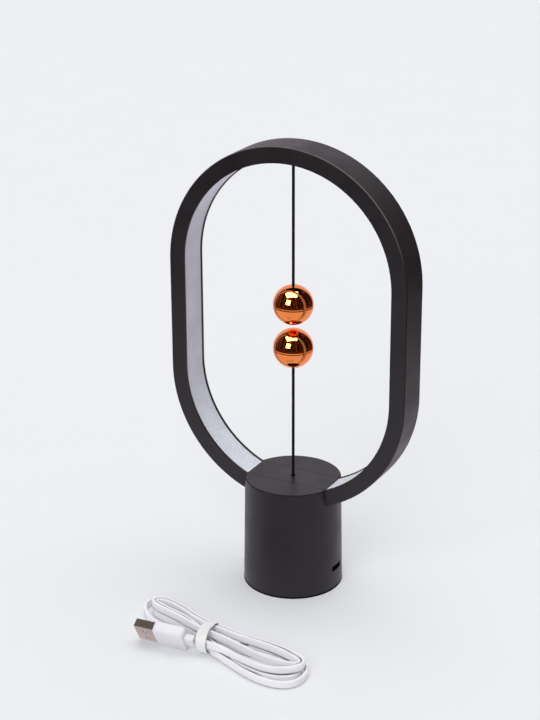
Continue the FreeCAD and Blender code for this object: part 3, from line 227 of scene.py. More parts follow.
def settled_dust(tree, place):
    """Fine pale dust, the thicker the more a face looks up."""
    facing = add_node(tree, "SeparateXYZ", {"Vector": add_node(tree, "NewGeometry").outputs["Normal"]})
    settled = add_node(tree, "MapRange", {"Value": facing.outputs["Z"], "From Max": DUST_SLOPE})
    grains = add_node(tree, "TexNoise", {"Vector": place, "Scale": per_mm(DUST_GRAIN), "Detail": 2.0})
    thick = add_node(tree, "MapRange",
                     {"Value": grains, **DUST_RANGE, "To Min": DUST_THIN, "To Max": DUST_THICK})
    cover = add_node(tree, "Math", {0: settled, 1: thick}, operation="MULTIPLY")
    return cover, linear(DUST)


def front_gap_shade(tree, place):
    """Painted shade of the gap along the diffuser's front edge, where it stands off the lip of the ring's
    channel.
    """
    across = add_node(tree, "SeparateXYZ", {"Vector": place})
    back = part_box("diffuser_strip")[0].y + GAP_SHADE_WIDTH * MM
    gap_shade = add_node(tree, "Math", {0: across.outputs["Y"], 1: back}, operation="LESS_THAN")
    return gap_shade, linear(SHADE_AND_SEAM_BLACK)


def ring_edge_shade_and_highlight(tree, place):
    """The ring's chamfers, which face half forward: painted black shade, but a painted pale highlight along
    the upper outer edge.
    """
    facing = add_node(tree, "SeparateXYZ", {"Vector": add_node(tree, "NewGeometry").outputs["True Normal"]})
    forward = add_node(tree, "Math", {0: facing.outputs["Y"]}, operation="ABSOLUTE")
    chamfer = add_node(tree, "Math", {0: forward, 1: CHAMFER, 2: CHAMFER_SPREAD}, operation="COMPARE")
    upward = add_node(tree, "MapRange",
                      {"Value": facing.outputs["Z"], "From Min": HIGHLIGHT_START, "From Max": HIGHLIGHT_FULL})
    height = add_node(tree, "SeparateXYZ", {"Vector": place})
    upper = add_node(tree, "Math", {0: height.outputs["Z"], 1: HIGHLIGHT_ABOVE}, operation="GREATER_THAN")
    highlighted = add_node(tree, "Math", {0: upward, 1: upper}, operation="MULTIPLY")
    edge = add_node(tree, "MixRGB",
                    {"Fac": highlighted, "Color1": linear(CHAMFER_SHADE_BLACK), "Color2": linear(EDGE_HIGHLIGHT_GREY)})
    return chamfer, edge


def bridge_seams(tree, place):
    """Dark seams along both sides of the bridge, on the flat top alone."""
    facing = add_node(tree, "SeparateXYZ", {"Vector": add_node(tree, "NewGeometry").outputs["True Normal"]})
    level = add_node(tree, "Math", {0: facing.outputs["Z"], 1: FLAT_TOP}, operation="GREATER_THAN")
    across = add_node(tree, "SeparateXYZ", {"Vector": place})
    aside = add_node(tree, "Math", {0: across.outputs["Y"]}, operation="ABSOLUTE")
    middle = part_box("top_bridge")[1].y + SEAM_BESIDE * MM
    seam = add_node(tree, "Math", {0: aside, 1: middle, 2: SEAM_HALF * MM}, operation="COMPARE")
    shown = add_node(tree, "Math", {0: level, 1: seam}, operation="MULTIPLY")
    return shown, linear(SHADE_AND_SEAM_BLACK)


# -------- finishes

# Size of the soft patches in mm, the noise values over which they and the dark specks of the grain come in,
# and the tone of the specks, as a share of the colour's.
PATCH_SIZE, PATCH_RANGE = 14.0, {"From Min": 0.35, "From Max": 0.65}
SPECK_RANGE, SPECK_TONE = {"From Min": 0.4, "From Max": 0.7}, 0.7
# How far red, green and blue light spread under a pale skin, in metres.
UNDER_SKIN = (0.0012, 0.0011, 0.001)


def grained(name, code, *, grain, depth, rough, metallic=0.0, specular=0.5, contrast=0.06, subsurface=0.0,
            stretch=(1, 1, 1), layers=()):
    """Surface with a fine grain and soft patches of tone and roughness, on Object coordinates.

    The grain's size and depth are in mm, and the layers are laid over the colour in turn.
    """
    material, tree = blank_material(name)
    place = add_node(tree, "TexCoord").outputs["Object"]
    along = add_node(tree, "Mapping", {"Vector": place, "Scale": stretch})
    patches = add_node(tree, "TexNoise", {"Vector": place, "Scale": per_mm(PATCH_SIZE), "Detail": 3.0})
    fine = add_node(tree, "TexNoise",
                    {"Vector": along, "Scale": per_mm(grain), "Detail": 2.0, "Roughness": 0.6})
    cloudy = add_node(tree, "MapRange", {"Value": patches, **PATCH_RANGE})
    speckled = add_node(tree, "MapRange", {"Value": fine, **SPECK_RANGE, "To Max": contrast * 2})
    base = add_node(tree, "MixRGB", {"Fac": cloudy, "Color1": linear(tint(code, 1 - contrast)),
                                     "Color2": linear(tint(code, 1 + contrast))})
    skin = add_node(tree, "MixRGB",
                    {"Fac": speckled, "Color1": base, "Color2": linear(tint(code, SPECK_TONE))})
    for layer in layers:
        cover, over = layer(tree, place)
        skin = add_node(tree, "MixRGB", {"Fac": cover, "Color1": skin, "Color2": over})
    bump = add_node(tree, "Bump", {"Height": fine, "Distance": depth * MM})
    dull = add_node(tree, "MapRange",
                    {"Value": patches, **PATCH_RANGE, "To Min": rough[0], "To Max": rough[1]})
    shader = add_node(tree, "BsdfPrincipled",
                      {"Base Color": skin, "Metallic": metallic, "Roughness": dull, "Normal": bump})
    if not metallic:
        shader.inputs["Specular IOR Level"].default_value = specular
    if subsurface:
        shader.inputs["Subsurface Weight"].default_value = subsurface
        shader.inputs["Subsurface Radius"].default_value = UNDER_SKIN
        shader.inputs["Subsurface Scale"].default_value = 1.0
    add_node(tree, "OutputMaterial", {"Surface": shader})
    return material


def make_finishes():
    """Every finish of the lamp, by its common name."""
    _, hues, _ = settings()
    looks = {
        # powder coat on extruded aluminium: matt black, with painted shade in its corners and on its
        # chamfers, a painted highlight along its upper outer edge, and a pinhead grain drawn coarser than the
        # real one so that it shows
        "powder_coated_aluminium": dict(code=hues.coat, grain=0.35, depth=0.012, rough=(0.42, 0.52),
                                        contrast=0.10, layers=(corner_shade, ring_edge_shade_and_highlight)),
        # moulded ABS from a spark eroded tool: a little warmer and smoother than the coat, with painted shade
        # in its corners and dark seams beside the bridge
        "moulded_black_abs": dict(code=hues.housing, grain=0.28, depth=0.008, rough=(0.37, 0.45),
                                  specular=0.37, contrast=0.08, layers=(corner_shade, bridge_seams)),
        # extruded opal polycarbonate: pale and matt, with light carried under the skin, whiter under dust,
        # and painted shade along its front gap
        "opal_polycarbonate": dict(code=hues.opal, grain=0.6, depth=0.006, rough=(0.45, 0.55), specular=0.4,
                                   contrast=0.03, subsurface=0.3, layers=(settled_dust, front_gap_shade)),
        # vacuum metallised and lacquered copper colour: a mirror with hardly any ripple
        "copper_mirror_plating": dict(code=hues.copper, grain=2.5, depth=0.0006, rough=(0.02, 0.04),
                                      metallic=1.0, contrast=0.02),
        # satin TPE jacket: soft highlights along its rounded edges, painted grey shade in the gaps where
        # strands press together
        "white_tpe_jacket": dict(code=hues.cable, grain=0.5, depth=0.008, rough=(0.34, 0.42),
                                 contrast=0.015, subsurface=0.3, layers=(strand_gap_shade,)),
        # moulded TPE over the plug, glossier than the jacket
        "white_tpe_overmould": dict(code=hues.overmould, grain=0.4, depth=0.004, rough=(0.28, 0.36),
                                    contrast=0.012),
        # milky silicone: soft, a little greenish, light passes into it
        "milky_silicone": dict(code=hues.tie, grain=0.5, depth=0.008, rough=(0.42, 0.52), specular=0.4,
                               contrast=0.015, subsurface=0.35),
        # nickel plated steel sheet with rolling marks along its length
        "nickel_plated_sheet": dict(code=hues.nickel, grain=0.25, depth=0.004, rough=(0.22, 0.34),
                                    metallic=1.0, contrast=0.05, stretch=(0.15, 1, 1)),
        # steel of the small socket, coloured near black as painted shade inside its opening: hardly shines
        "socket_steel_painted_shade": dict(code="#0B0A0B", grain=0.3, depth=0.004, rough=(0.5, 0.6), metallic=1.0,
                                contrast=0.06),
        # zinc plated steel of the screws and springs: pale grey with a soft, slightly patchy shine
        "zinc_plated_steel": dict(code="#B4B4B2", grain=0.3, depth=0.004, rough=(0.25, 0.38), metallic=1.0,
                                  contrast=0.06),
        # plain rolled steel of the ballast, dull and streaky
        "rolled_steel": dict(code="#77777A", grain=0.4, depth=0.01, rough=(0.35, 0.5), metallic=1.0,
                             contrast=0.08, stretch=(0.2, 1, 1)),
        # sintered magnet under bright nickel: nearly a mirror
        "nickel_plated_magnet": dict(code="#C9C6C0", grain=0.5, depth=0.002, rough=(0.12, 0.2),
                                     metallic=1.0, contrast=0.03),
        # closed cell rubber of the foot: black without shine
        "foot_rubber": dict(code="#080708", grain=0.3, depth=0.03, rough=(0.7, 0.85), specular=0.12,
                            contrast=0.15),
        # white solder mask over copper, slightly glossy
        "white_solder_mask": dict(code="#E6E5DC", grain=0.4, depth=0.003, rough=(0.3, 0.4), contrast=0.02),
        # silicone dome tinted by its phosphor: yellow and glossy
        "phosphor_silicone": dict(code="#E6CC55", grain=0.3, depth=0.003, rough=(0.15, 0.25),
                                  contrast=0.05),
        # green solder mask with faint copper traces under it
        "green_solder_mask": dict(code="#1C5A34", grain=0.8, depth=0.01, rough=(0.25, 0.35),
                                  contrast=0.12),
        # epoxy moulding of chips and snap switches: dark grey with a fine dull grain
        "black_epoxy": dict(code="#1B1B1C", grain=0.15, depth=0.004, rough=(0.45, 0.6), contrast=0.1),
        # grey nylon of the inner mouldings: plain and dull
        "grey_nylon": dict(code="#3A3A3C", grain=0.3, depth=0.01, rough=(0.45, 0.55)),
        # white acetal, which lets string and slider run: smooth, a little glossy, light passes into it
        "white_acetal": dict(code="#E4E3DE", grain=0.5, depth=0.003, rough=(0.3, 0.4), contrast=0.02,
                             subsurface=0.15),
        # red PVC insulation of the wires: even and slightly glossy
        "red_pvc": dict(code="#B5211B", grain=0.4, depth=0.004, rough=(0.3, 0.4), contrast=0.05),
    }
    finishes = {name: grained(name, **look) for name, look in looks.items()}
    finishes["polyester_braid"] = braid_material()
    return finishes


# Size of the braid's threads in mm and how far they stand out, the pointiness over which the crown of a
# strand comes in, and the tones of the painted shade in its valleys and the painted highlight on its crowns,
# as shares of the colour's.
THREAD_SIZE, THREAD_DEPTH = 0.2, 0.03
CROWN_RANGE, VALLEY_SHADE_TONE, CROWN_HIGHLIGHT_TONE = {"From Min": 0.48, "From Max": 0.54}, 0.6, 1.6


def braid_material():
    """Tight polyester braid: dull black filaments, with a painted highlight on the crowns of the strands and
    painted shade in the valleys.
    """
    _, hues, _ = settings()
    material, tree = blank_material("polyester_braid")
    place = add_node(tree, "TexCoord").outputs["Object"]
    threads = add_node(tree, "TexNoise",
                       {"Vector": place, "Scale": per_mm(THREAD_SIZE), "Detail": 2.0, "Roughness": 0.6})
    pointed = add_node(tree, "NewGeometry").outputs["Pointiness"]
    crown = add_node(tree, "MapRange", {"Value": pointed, **CROWN_RANGE})
    crown_shade_and_highlight = add_node(tree, "MixRGB", {"Fac": crown, "Color1": linear(tint(hues.braid, VALLEY_SHADE_TONE)),
                                      "Color2": linear(tint(hues.braid, CROWN_HIGHLIGHT_TONE))})
    speckled = add_node(tree, "MapRange", {"Value": threads, "To Max": 0.4})
    mottled = add_node(tree, "MixRGB",
                       {"Fac": speckled, "Color1": crown_shade_and_highlight, "Color2": linear(tint(hues.braid, SPECK_TONE))})
    bump = add_node(tree, "Bump", {"Height": threads, "Distance": THREAD_DEPTH * MM})
    dull = add_node(tree, "MapRange", {"Value": threads, "To Min": 0.65, "To Max": 0.85})
    shader = add_node(tree, "BsdfPrincipled", {"Base Color": mottled, "Normal": bump, "Roughness": dull})
    shader.inputs["Sheen Weight"].default_value = 0.05
    shader.inputs["Specular IOR Level"].default_value = 0.15
    add_node(tree, "OutputMaterial", {"Surface": shader})
    return material


NODES_OF_FINISH = {
    "powder_coated_aluminium": ("ring_frame",),
    "opal_polycarbonate": ("diffuser_strip",),
    "white_solder_mask": ("led_strip_board",),
    "phosphor_silicone": ("led_chips",),
    "moulded_black_abs": ("base_shell", "top_bridge", "bottom_cover"),
    "white_acetal": ("string_guide", "pull_slider", "switch_button", "usb_plug_tongue"),
    "grey_nylon": ("ring_clamp", "switch_housing", "housing_cap", "string_anchor"),
    "rolled_steel": ("ballast_weight",),
    "green_solder_mask": ("control_board",),
    "black_epoxy": ("micro_usb_tongue", "driver_chip", "board_components", "switch_body"),
    "socket_steel_painted_shade": ("micro_usb_shell",),
    "nickel_plated_sheet": ("micro_plug_shell", "usb_plug_shell"),
    "zinc_plated_steel": ("cover_screws", "board_screws", "clamp_screws", "bridge_screws", "return_spring",
                          "switch_terminals", "switch_lever"),
    "red_pvc": ("led_leads",),
    "nickel_plated_magnet": ("upper_magnet", "lower_magnet"),
    "white_tpe_overmould": ("micro_plug_body",),
}

FINISHES = {}


def finish_node(name, finish):
    """Gives a CAD node one of the finishes in every material slot."""
    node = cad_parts[name]
    if not node.material_slots:
        node.data.materials.append(FINISHES[finish])
    for slot in node.material_slots:
        slot.material = FINISHES[finish]


# -------- surfaces


def grid_faces(rows, columns):
    """Quads between rows of points whose columns close on themselves, as one array."""
    row = np.arange(rows - 1)[:, None] * columns
    column = np.arange(columns)[None, :]
    following = (column + 1) % columns
    return np.stack((row + column, row + following, row + columns + following, row + columns + column),
                    axis=-1).reshape(-1, 4)


def linked(name, data):
    """Object of a mesh, a light or a camera, linked into the scene."""
    thing = bpy.data.objects.new(name, data)
    bpy.context.scene.collection.objects.link(thing)
    return thing


def piece(name, points, finish, body, replaces, ends=True, angle=35.0):
    """Closed surface from a grid of points in millimetres, rows by columns by 3, for nodes that it replaces.

    Columns close on themselves. Each end row gets a flat cap, unless ends is False, for rows that begin and
    end on the axis or on each other. Edges sharper than the angle in degrees are kept sharp.
    """
    rows, columns, _ = points.shape
    faces = grid_faces(rows, columns).tolist()
    if ends:
        faces += [list(range(columns)), list(range((rows - 1) * columns, rows * columns))]
    mesh = bpy.data.meshes.new(name)
    mesh.from_pydata((points.reshape(-1, 3) * MM).tolist(), [], faces)
    made = bmesh.new()
    made.from_mesh(mesh)
    bmesh.ops.remove_doubles(made, verts=made.verts, dist=1e-7)
    bmesh.ops.recalc_face_normals(made, faces=made.faces)
    made.to_mesh(mesh)
    made.free()
    mesh.shade_smooth()
    mesh.set_sharp_from_angle(angle=math.radians(angle))
    mesh.materials.append(FINISHES[finish])
    thing = linked(name, mesh)
    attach(thing, body)
    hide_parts(*replaces)
    return thing


def revolved(profile, steps):
    """A profile of (radius, height) rows turned about the Z axis in even steps."""
    angle = np.linspace(0, 2 * math.pi, steps, endpoint=False)
    radius, height = np.asarray(profile, dtype=float).T
    return np.stack((radius[:, None] * np.cos(angle), radius[:, None] * np.sin(angle),
                     np.broadcast_to(height[:, None], (len(height), steps))), axis=-1)


def oval(half_width, half_height, power, steps):
    """Section |x/a|^power + |y/b|^power = 1: a rectangle, the rounder at its corners the lower the power."""
    angle = np.linspace(0, 2 * math.pi, steps, endpoint=False)
    cosine, sine = np.cos(angle), np.sin(angle)
    return np.stack((half_width * np.sign(cosine) * np.abs(cosine) ** (2 / power),
                     half_height * np.sign(sine) * np.abs(sine) ** (2 / power)), axis=-1)


def unit(vectors):
    """Rows of vectors, each brought to length 1."""
    return vectors / np.linalg.norm(vectors, axis=1, keepdims=True)


def swept(line, section, side, rise):
    """A section of (side, rise) set up at every point of a line, along the two directions given there."""
    return (line[:, None, :] + section[None, :, :1] * side[:, None, :]
            + section[None, :, 1:] * rise[:, None, :])


# Steps of a route's line between two of its points, and points on the quarter circle of a rounded edge.
ROUTE_STEPS, EDGE_STEPS = 14, 7


def spline_points(route, cyclic=False):
    """Points along the smooth NURBS line whose control points are the route's, both in millimetres."""
    curve = bpy.data.curves.new("route", "CURVE")
    curve.dimensions = "3D"
    spline = curve.splines.new("NURBS")
    spline.points.add(len(route) - 1)
    spline.points.foreach_set("co", [value for point in route for value in (*point, 1.0)])
    spline.order_u = 3
    spline.use_cyclic_u = cyclic
    spline.use_endpoint_u = not cyclic
    spline.resolution_u = ROUTE_STEPS
    carrier = bpy.data.objects.new("route", curve)
    mesh = bpy.data.meshes.new_from_object(carrier)
    points = np.empty(len(mesh.vertices) * 3)
    mesh.vertices.foreach_get("co", points)
    bpy.data.meshes.remove(mesh)
    bpy.data.objects.remove(carrier)
    bpy.data.curves.remove(curve)
    return points.reshape(-1, 3)


# -------- charging cable

# Middle heights of the strands that lie on top and of those on the table, in millimetres.
UPPER, LOWER = 6.4, 2.15


def at_height(height, points):
    """Points of a route that lie at one height."""
    return [(x, y, height) for x, y in points]


# Route of the flat cable in millimetres, from the plug's relief through two loops on top and two and a half
# below them to the small plug.
CABLE_ROUTE = (
    (-4.96, -98.36, 7.35), (-2.0, -98.2, 7.3), (2.5, -97.7, 7.1), (9.0, -97.5, 6.8),
    *at_height(UPPER, (
        (18.2, -99.9), (27.8, -102.8), (37.0, -104.3), (45.5, -102.2), (51.6, -97.6), (54.2, -91.8),
        (50.6, -87.2), (44.0, -84.7), (34.0, -82.9), (22.0, -82.0), (11.0, -81.2), (2.0, -79.8),
        (-5.0, -78.6), (-12.5, -77.2), (-20.5, -74.0), (-29.0, -70.2), (-37.0, -67.7), (-44.2, -67.6),
        (-46.9, -71.6), (-42.0, -75.4), (-33.0, -77.6), (-25.0, -79.8), (-16.0, -83.2), (-7.0, -85.8),
        (1.0, -87.3), (10.0, -89.0), (20.0, -92.1), (30.0, -94.9), (39.0, -96.1), (46.5, -95.4),
        (52.4, -93.2), (50.2, -90.3), (44.0, -87.6), (36.0, -85.3), (26.0, -84.0), (14.0, -83.1),
        (3.0, -81.8), (-5.0, -80.4), (-12.5, -79.1), (-20.5, -75.9), (-29.0, -72.1), (-36.5, -69.6),
        (-42.4, -69.6), (-44.9, -71.6), (-40.8, -73.7), (-33.0, -75.9), (-25.0, -78.1))),
    (-18.0, -80.3, 6.2), (-12.0, -82.6, 5.0), (-5.0, -86.0, 2.6),
    *at_height(LOWER, (
        (2.0, -90.2), (11.0, -94.6), (20.0, -99.2), (29.0, -102.4), (38.0, -103.6), (45.6, -101.6),
        (50.4, -97.0), (51.0, -92.2), (46.0, -89.6), (38.0, -88.0), (28.0, -87.5), (18.0, -87.5),
        (9.0, -86.6), (2.0, -84.0), (-5.0, -81.4), (-12.5, -78.4), (-20.5, -74.4), (-29.0, -70.5),
        (-37.0, -68.0), (-44.2, -67.9), (-46.9, -71.8), (-42.0, -75.6), (-33.0, -77.9), (-25.0, -80.1),
        (-15.0, -83.8), (-5.0, -88.6), (2.0, -91.9))),
    (11.0, -96.6, 2.4), (20.0, -101.2, 2.8), (29.0, -104.5, 3.0), (38.5, -105.7, 2.8), (47.0, -103.6, 2.4),
    *at_height(LOWER, (
        (52.4, -98.4), (52.9, -92.0), (47.5, -88.2), (38.0, -86.0), (28.0, -85.7), (18.0, -85.7),
        (9.4, -84.8), (2.6, -82.0), (-5.0, -79.4), (-13.0, -75.6), (-21.0, -69.8), (-30.0, -65.2),
        (-39.0, -61.8), (-47.0, -60.4), (-51.6, -64.4), (-51.8, -71.0), (-47.8, -77.0), (-42.0, -82.2),
        (-34.0, -85.6), (-24.0, -87.0), (-14.0, -89.0))),
    (-5.0, -92.2, 2.6), (1.0, -95.0, 3.0), (9.0, -98.0, 2.5),
    *at_height(LOWER, (
        (19.4, -102.4), (28.8, -106.2), (38.4, -108.4), (47.6, -108.4), (54.6, -104.0), (56.6, -96.0),
        (54.6, -88.6), (49.5, -83.6), (43.0, -80.4), (37.2, -79.9))))

# Middle line of the silicone band round the strands, in millimetres: up the front, back over the top, down
# behind and forward underneath.
TIE_LINE = (
    (-0.8, -99.9, 4.8), (-0.8, -99.9, 8.6), (-2.0, -97.0, 9.9), (-3.8, -92.5, 10.0), (-5.2, -88.0, 10.0),
    (-5.2, -81.0, 9.9), (-5.2, -78.0, 8.6), (-5.3, -76.6, 4.5), (-5.2, -78.0, 0.5), (-4.0, -86.0, 0.5),
    (-1.5, -93.0, 0.5), (-0.6, -97.5, 1.2))

# How square the strand and the band are, as powers of their oval sections.
JACKET_POWER, BAND_POWER = 4.5, 5.0

# Mouldings of the USB plug in millimetres: where they start and end behind the tip of its metal shell, half
# their width and height, the power of their section, and the radii of their front and back edges.
OVERMOULD = dict(start=10.7, end=27.9, wide=7.2, high=3.4, power=6.0, front=1.5, back=1.5)
RELIEF = dict(start=27.9, end=32.7, wide=3.3, high=1.9, power=5.0, front=0.1, back=0.5)

# Where the plug's tip lies in millimetres, and how the plug is turned about Z and rolled, in degrees.
PLUG_TIP = (-37.6, -100.3, 7.35)
PLUG_YAW, PLUG_ROLL = 3.4, 119.5


def plug_place(points):
    """Points drawn along X from the plug's tip, in mm, put where the plug lies: rolled, turned, moved."""
    yaw = Matrix.Rotation(math.radians(PLUG_YAW), 3, "Z")
    return points @ np.array(yaw @ Matrix.Rotation(math.radians(PLUG_ROLL), 3, "X")).T + np.array(PLUG_TIP)


def lofted(stations):
    """Sections along X joined into one surface. A station is (x, half width, half height, power)."""
    steps = 48
    return np.stack([np.column_stack((np.full(steps, x), oval(wide, high, power, steps)))
                     for x, wide, high, power in stations])


def rounded_stations(start, end, wide, high, power, front, back):
    """Stations of a block whose ends curve in by quarter circles of two radii."""
    quarter = np.linspace(0, math.pi / 2, EDGE_STEPS)
    return [(x + inward * radius * (1 - math.cos(a)), wide - radius * (1 - math.sin(a)),
             high - radius * (1 - math.sin(a)), power)
            for x, inward, radius, turn in ((start, 1, front, quarter), (end, -1, back, quarter[::-1]))
            for a in turn]


class LAMP_OT_cable(bpy.types.Operator):
    """Makes the flat charging cable in its tied hank, the tie, and the USB plug's overmould and strain relief
    """
    bl_idname = "lamp.cable"
    bl_label = "Cable"

    def execute(self, context):
        sizes, _, _ = settings()
        path = spline_points(CABLE_ROUTE)
        run = unit(np.gradient(path, axis=0))
        side = unit(np.cross((0.0, 0.0, 1.0), run))
        section = oval(sizes.cable_thickness / MM / 2, sizes.cable_width / MM / 2, JACKET_POWER, steps=24)
        cable = piece("charging_cable", swept(path, section, side, np.cross(run, side)), "white_tpe_jacket",
                      "cable", ("cable_hank", "usb_plug_tail", "micro_plug_tail"))
        self.make_tie(sizes)
        overmould, relief = [
            piece(name, plug_place(lofted(rounded_stations(**moulding))), "white_tpe_overmould", "cable",
                  (node,))
            for name, moulding, node in (("usb_plug_overmould", OVERMOULD, "usb_plug_body"),
                                         ("usb_plug_relief", RELIEF, "usb_strain_relief"))]
        return {"FINISHED"}

    def make_tie(self, sizes):
        """Rounded band section carried round the closed line of the tie, its width lying along the hank."""
        line = spline_points(TIE_LINE, cyclic=True)
        run = unit(np.roll(line, -1, axis=0) - np.roll(line, 1, axis=0))
        out = unit(np.cross(run, (1.0, 0.0, 0.0)))
        section = oval(sizes.tie_width / MM / 2, sizes.tie_thickness / MM / 2, BAND_POWER, steps=24)
        rows = swept(line, section, np.cross(out, run), out)
        rows = np.concatenate((rows, rows[:1]))
        piece("silicone_tie", rows, "milky_silicone", "cable", ("cable_tie",), ends=False)


# -------- strings and balls

# Braid: strands each way round, points round the string, and its steps along it in millimetres.
BRAID_STRANDS, BRAID_AROUND, BRAID_STEP = 4, 32, 0.14

# Insides of the balls in millimetres. One half has a pocket for the magnet. The other, on the string's side,
# has a spigot that holds the magnet down, room for the string's knot and a hole for the string.
POCKET_RADIUS, POCKET_DEPTH = 6.1, 7.0
SPIGOT_RADIUS, SPIGOT_REACH = 6.0, 1.95
KNOT_RADIUS, KNOT_ROOM_RADIUS, KNOT_ROOM_END = 1.6, 3.0, 6.4
HOLE_RADIUS = 0.8
# How far a half's bevel cuts in at the seam, as a share of its height, and points on the half's quarter
# circle.
BEVEL_INSET, BALL_STEPS = 0.22, 64


def braided(low, high, radius, pitch, depth):
    """Braid along Z: the radius less depth, plus depth times the higher of two crossing helical waves."""
    angle = np.linspace(0, 2 * math.pi, BRAID_AROUND, endpoint=False)[None, :]
    height = np.linspace(low, high, int((high - low) / BRAID_STEP))[:, None]
    phase = 2 * math.pi * height / pitch
    crown = np.maximum(np.cos(BRAID_STRANDS * (angle + phase)), np.cos(BRAID_STRANDS * (angle - phase)))
    reach = radius - depth + depth * crown
    return np.stack((reach * np.cos(angle), reach * np.sin(angle), np.broadcast_to(height, reach.shape)),
                    axis=-1)


def ball_half_profile(centre, side, radius, seam, holds_magnet):
    """(radius, height) profile of half a ball: a quarter circle down to its bevel, closed through its inside.

    side is 1 above the seam and -1 below it.
    """
    top = math.pi / 2 if holds_magnet else math.acos(HOLE_RADIUS / radius)
    turn = np.linspace(top, math.asin(seam / radius), BALL_STEPS)
    skin = np.column_stack((radius * np.cos(turn), radius * np.sin(turn)))
    inside = [(radius - seam * BEVEL_INSET, 0.0)]
    if holds_magnet:
        inside += [(POCKET_RADIUS, 0.0), (POCKET_RADIUS, POCKET_DEPTH), (0.0, POCKET_DEPTH)]
    else:
        inside += [(SPIGOT_RADIUS, 0.0), (SPIGOT_RADIUS, -SPIGOT_REACH), (KNOT_ROOM_RADIUS, -SPIGOT_REACH),
                   (KNOT_ROOM_RADIUS, KNOT_ROOM_END), (HOLE_RADIUS, KNOT_ROOM_END), tuple(skin[0])]
    profile = np.concatenate((skin, inside))
    return np.column_stack((profile[:, 0], centre + side * profile[:, 1]))


class LAMP_OT_balls(bpy.types.Operator):
    """Makes the two mirror balls, each of two halves"""
    bl_idname = "lamp.balls"
    bl_label = "Balls"

    def execute(self, context):
        sizes, _, _ = settings()
        radius, seam = sizes.ball_radius / MM, sizes.ball_seam / MM
        for ball, string_side in (("upper_ball", 1), ("lower_ball", -1)):
            for half, side in (("top", 1), ("bottom", -1)):
                node = f"{ball}_{half}"
                low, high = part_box(node)
                holds_magnet = side != string_side
                # a node ends at the ball's middle, or a spigot's reach beyond it
                centre = (low if side > 0 else high).z / MM + (0 if holds_magnet else side * SPIGOT_REACH)
                profile = ball_half_profile(centre, side, radius, seam, holds_magnet)
                half_ball = piece(f"{node}_mirror", revolved(profile, steps=128), "copper_mirror_plating",
                                  ball, (node,), ends=False, angle=30.0)
                bpy.data.collections["mirrors"].objects.link(half_ball)
        return {"FINISHED"}


class LAMP_OT_strings(bpy.types.Operator):
    """Makes the braided strings that hold the balls"""
    bl_idname = "lamp.strings"
    bl_label = "Strings"

    def execute(self, context):
        sizes, _, _ = settings()
        radius = sizes.string_radius / MM
        shape = (radius, sizes.braid_pitch / MM, sizes.braid_depth / MM)
        for name, ball, bend, holder in (("upper_string", "upper_ball", "upper_bend", "lamp"),
                                         ("lower_string", "lower_ball", "lower_bend", "slider")):
            low, high = (corner.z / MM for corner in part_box(name))
            tail_low, tail_high = (corner.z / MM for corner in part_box(f"{name}_tail"))
            pivot = sum(corner.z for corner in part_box(f"{name}_bend")) / 2 / MM
            # each string bends at its pivot and ends in the middle of a knot
            if name == "upper_string":
                string, tail = (low + KNOT_RADIUS, pivot), (pivot, tail_high - KNOT_RADIUS)
            else:
                string, tail = (pivot, high - KNOT_RADIUS), (tail_low, pivot)
            piece(f"{name}_braid", braided(*string, *shape), "polyester_braid", ball, (name,),
                  angle=80.0)
            turn = np.linspace(-math.pi / 2, math.pi / 2, 2 * EDGE_STEPS - 1)
            knuckle = np.column_stack((radius * np.cos(turn), pivot + radius * np.sin(turn)))
            piece(f"{name}_knuckle", revolved(knuckle, steps=32), "polyester_braid", bend,
                  (f"{name}_bend",), ends=False)
            piece(f"{name}_tail_braid", braided(*tail, *shape), "polyester_braid", holder,
                  (f"{name}_tail",), angle=80.0)
        return {"FINISHED"}


# -------- foot


class LAMP_OT_foot(bpy.types.Operator):
    """Makes the soft foot, whose lower edge is rolled in"""
    bl_idname = "lamp.foot"
    bl_label = "Foot"

    def execute(self, context):
        sizes, _, _ = settings()
        _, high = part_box("foot_pad")
        radius, top = (high.x + sizes.foot_swell) / MM, high.z / MM
        roll, turn = sizes.foot_roll / MM, np.linspace(0, math.pi / 2, EDGE_STEPS)
        edge = np.column_stack((radius - roll * (1 - np.sin(turn)), roll * (1 - np.cos(turn))))
        profile = np.concatenate(([(0.0, 0.0)], edge, [(radius, top), (0.0, top)]))
        piece("rolled_foot", revolved(profile, steps=96), "foot_rubber", "lamp", ("foot_pad",),
              ends=False)
        return {"FINISHED"}


# -------- frame's own nodes


class LAMP_OT_finishes(bpy.types.Operator):
    """Makes every finish and gives the CAD pieces theirs"""
    bl_idname = "lamp.finishes"
    bl_label = "Finishes"

    def execute(self, context):
        FINISHES.update(make_finishes())
        for finish, names in NODES_OF_FINISH.items():
            for name in names:
                finish_node(name, finish)
        return {"FINISHED"}


# -------- stage

# Size of the floor's patches in mm, their tones, as shares of the backdrop's, and how much of these tones the
# camera sees in place of the lit floor.
FLOOR_GRAIN, FLOOR_DARK, FLOOR_LIGHT, OWN_TONE = 60.0, 0.966, 0.97, 0.3
# Where the pale table that gloss shows ends, in metres from the lamp.
TABLE_EDGE = {"From Min": 0.36, "From Max": 0.42}
# Middle of what gloss takes to be behind the lamp, in degrees above level, and its soft edge, as cosines of
# the angle from there.
BEHIND_ELEVATION, BEHIND_EDGE = 9.0, {"From Min": 0.70, "From Max": 0.78}
# Tones of the dim room, as shares of its colour, how its things are stretched, and the noise values over
# which they come in.
ROOM_DARK, ROOM_LIGHT = 0.55, 1.5
THINGS_STRETCH, THINGS_RANGE = (5.0, 5.0, 0.8), {"From Min": 0.5, "From Max": 0.62}
# Whites of the cards and of the light from all round, and the height between the balls, which the cards face.
CARD_WHITE, AMBIENT_WHITE, BALLS_HEIGHT = "#FFFAF2", "#F8F5FB", 0.155


def toward(azimuth, elevation):
    """Direction from the lamp to a place at an azimuth and elevation, as the camera's are counted."""
    return Vector((math.sin(azimuth) * math.cos(elevation), -math.cos(azimuth) * math.cos(elevation),
                   math.sin(elevation)))


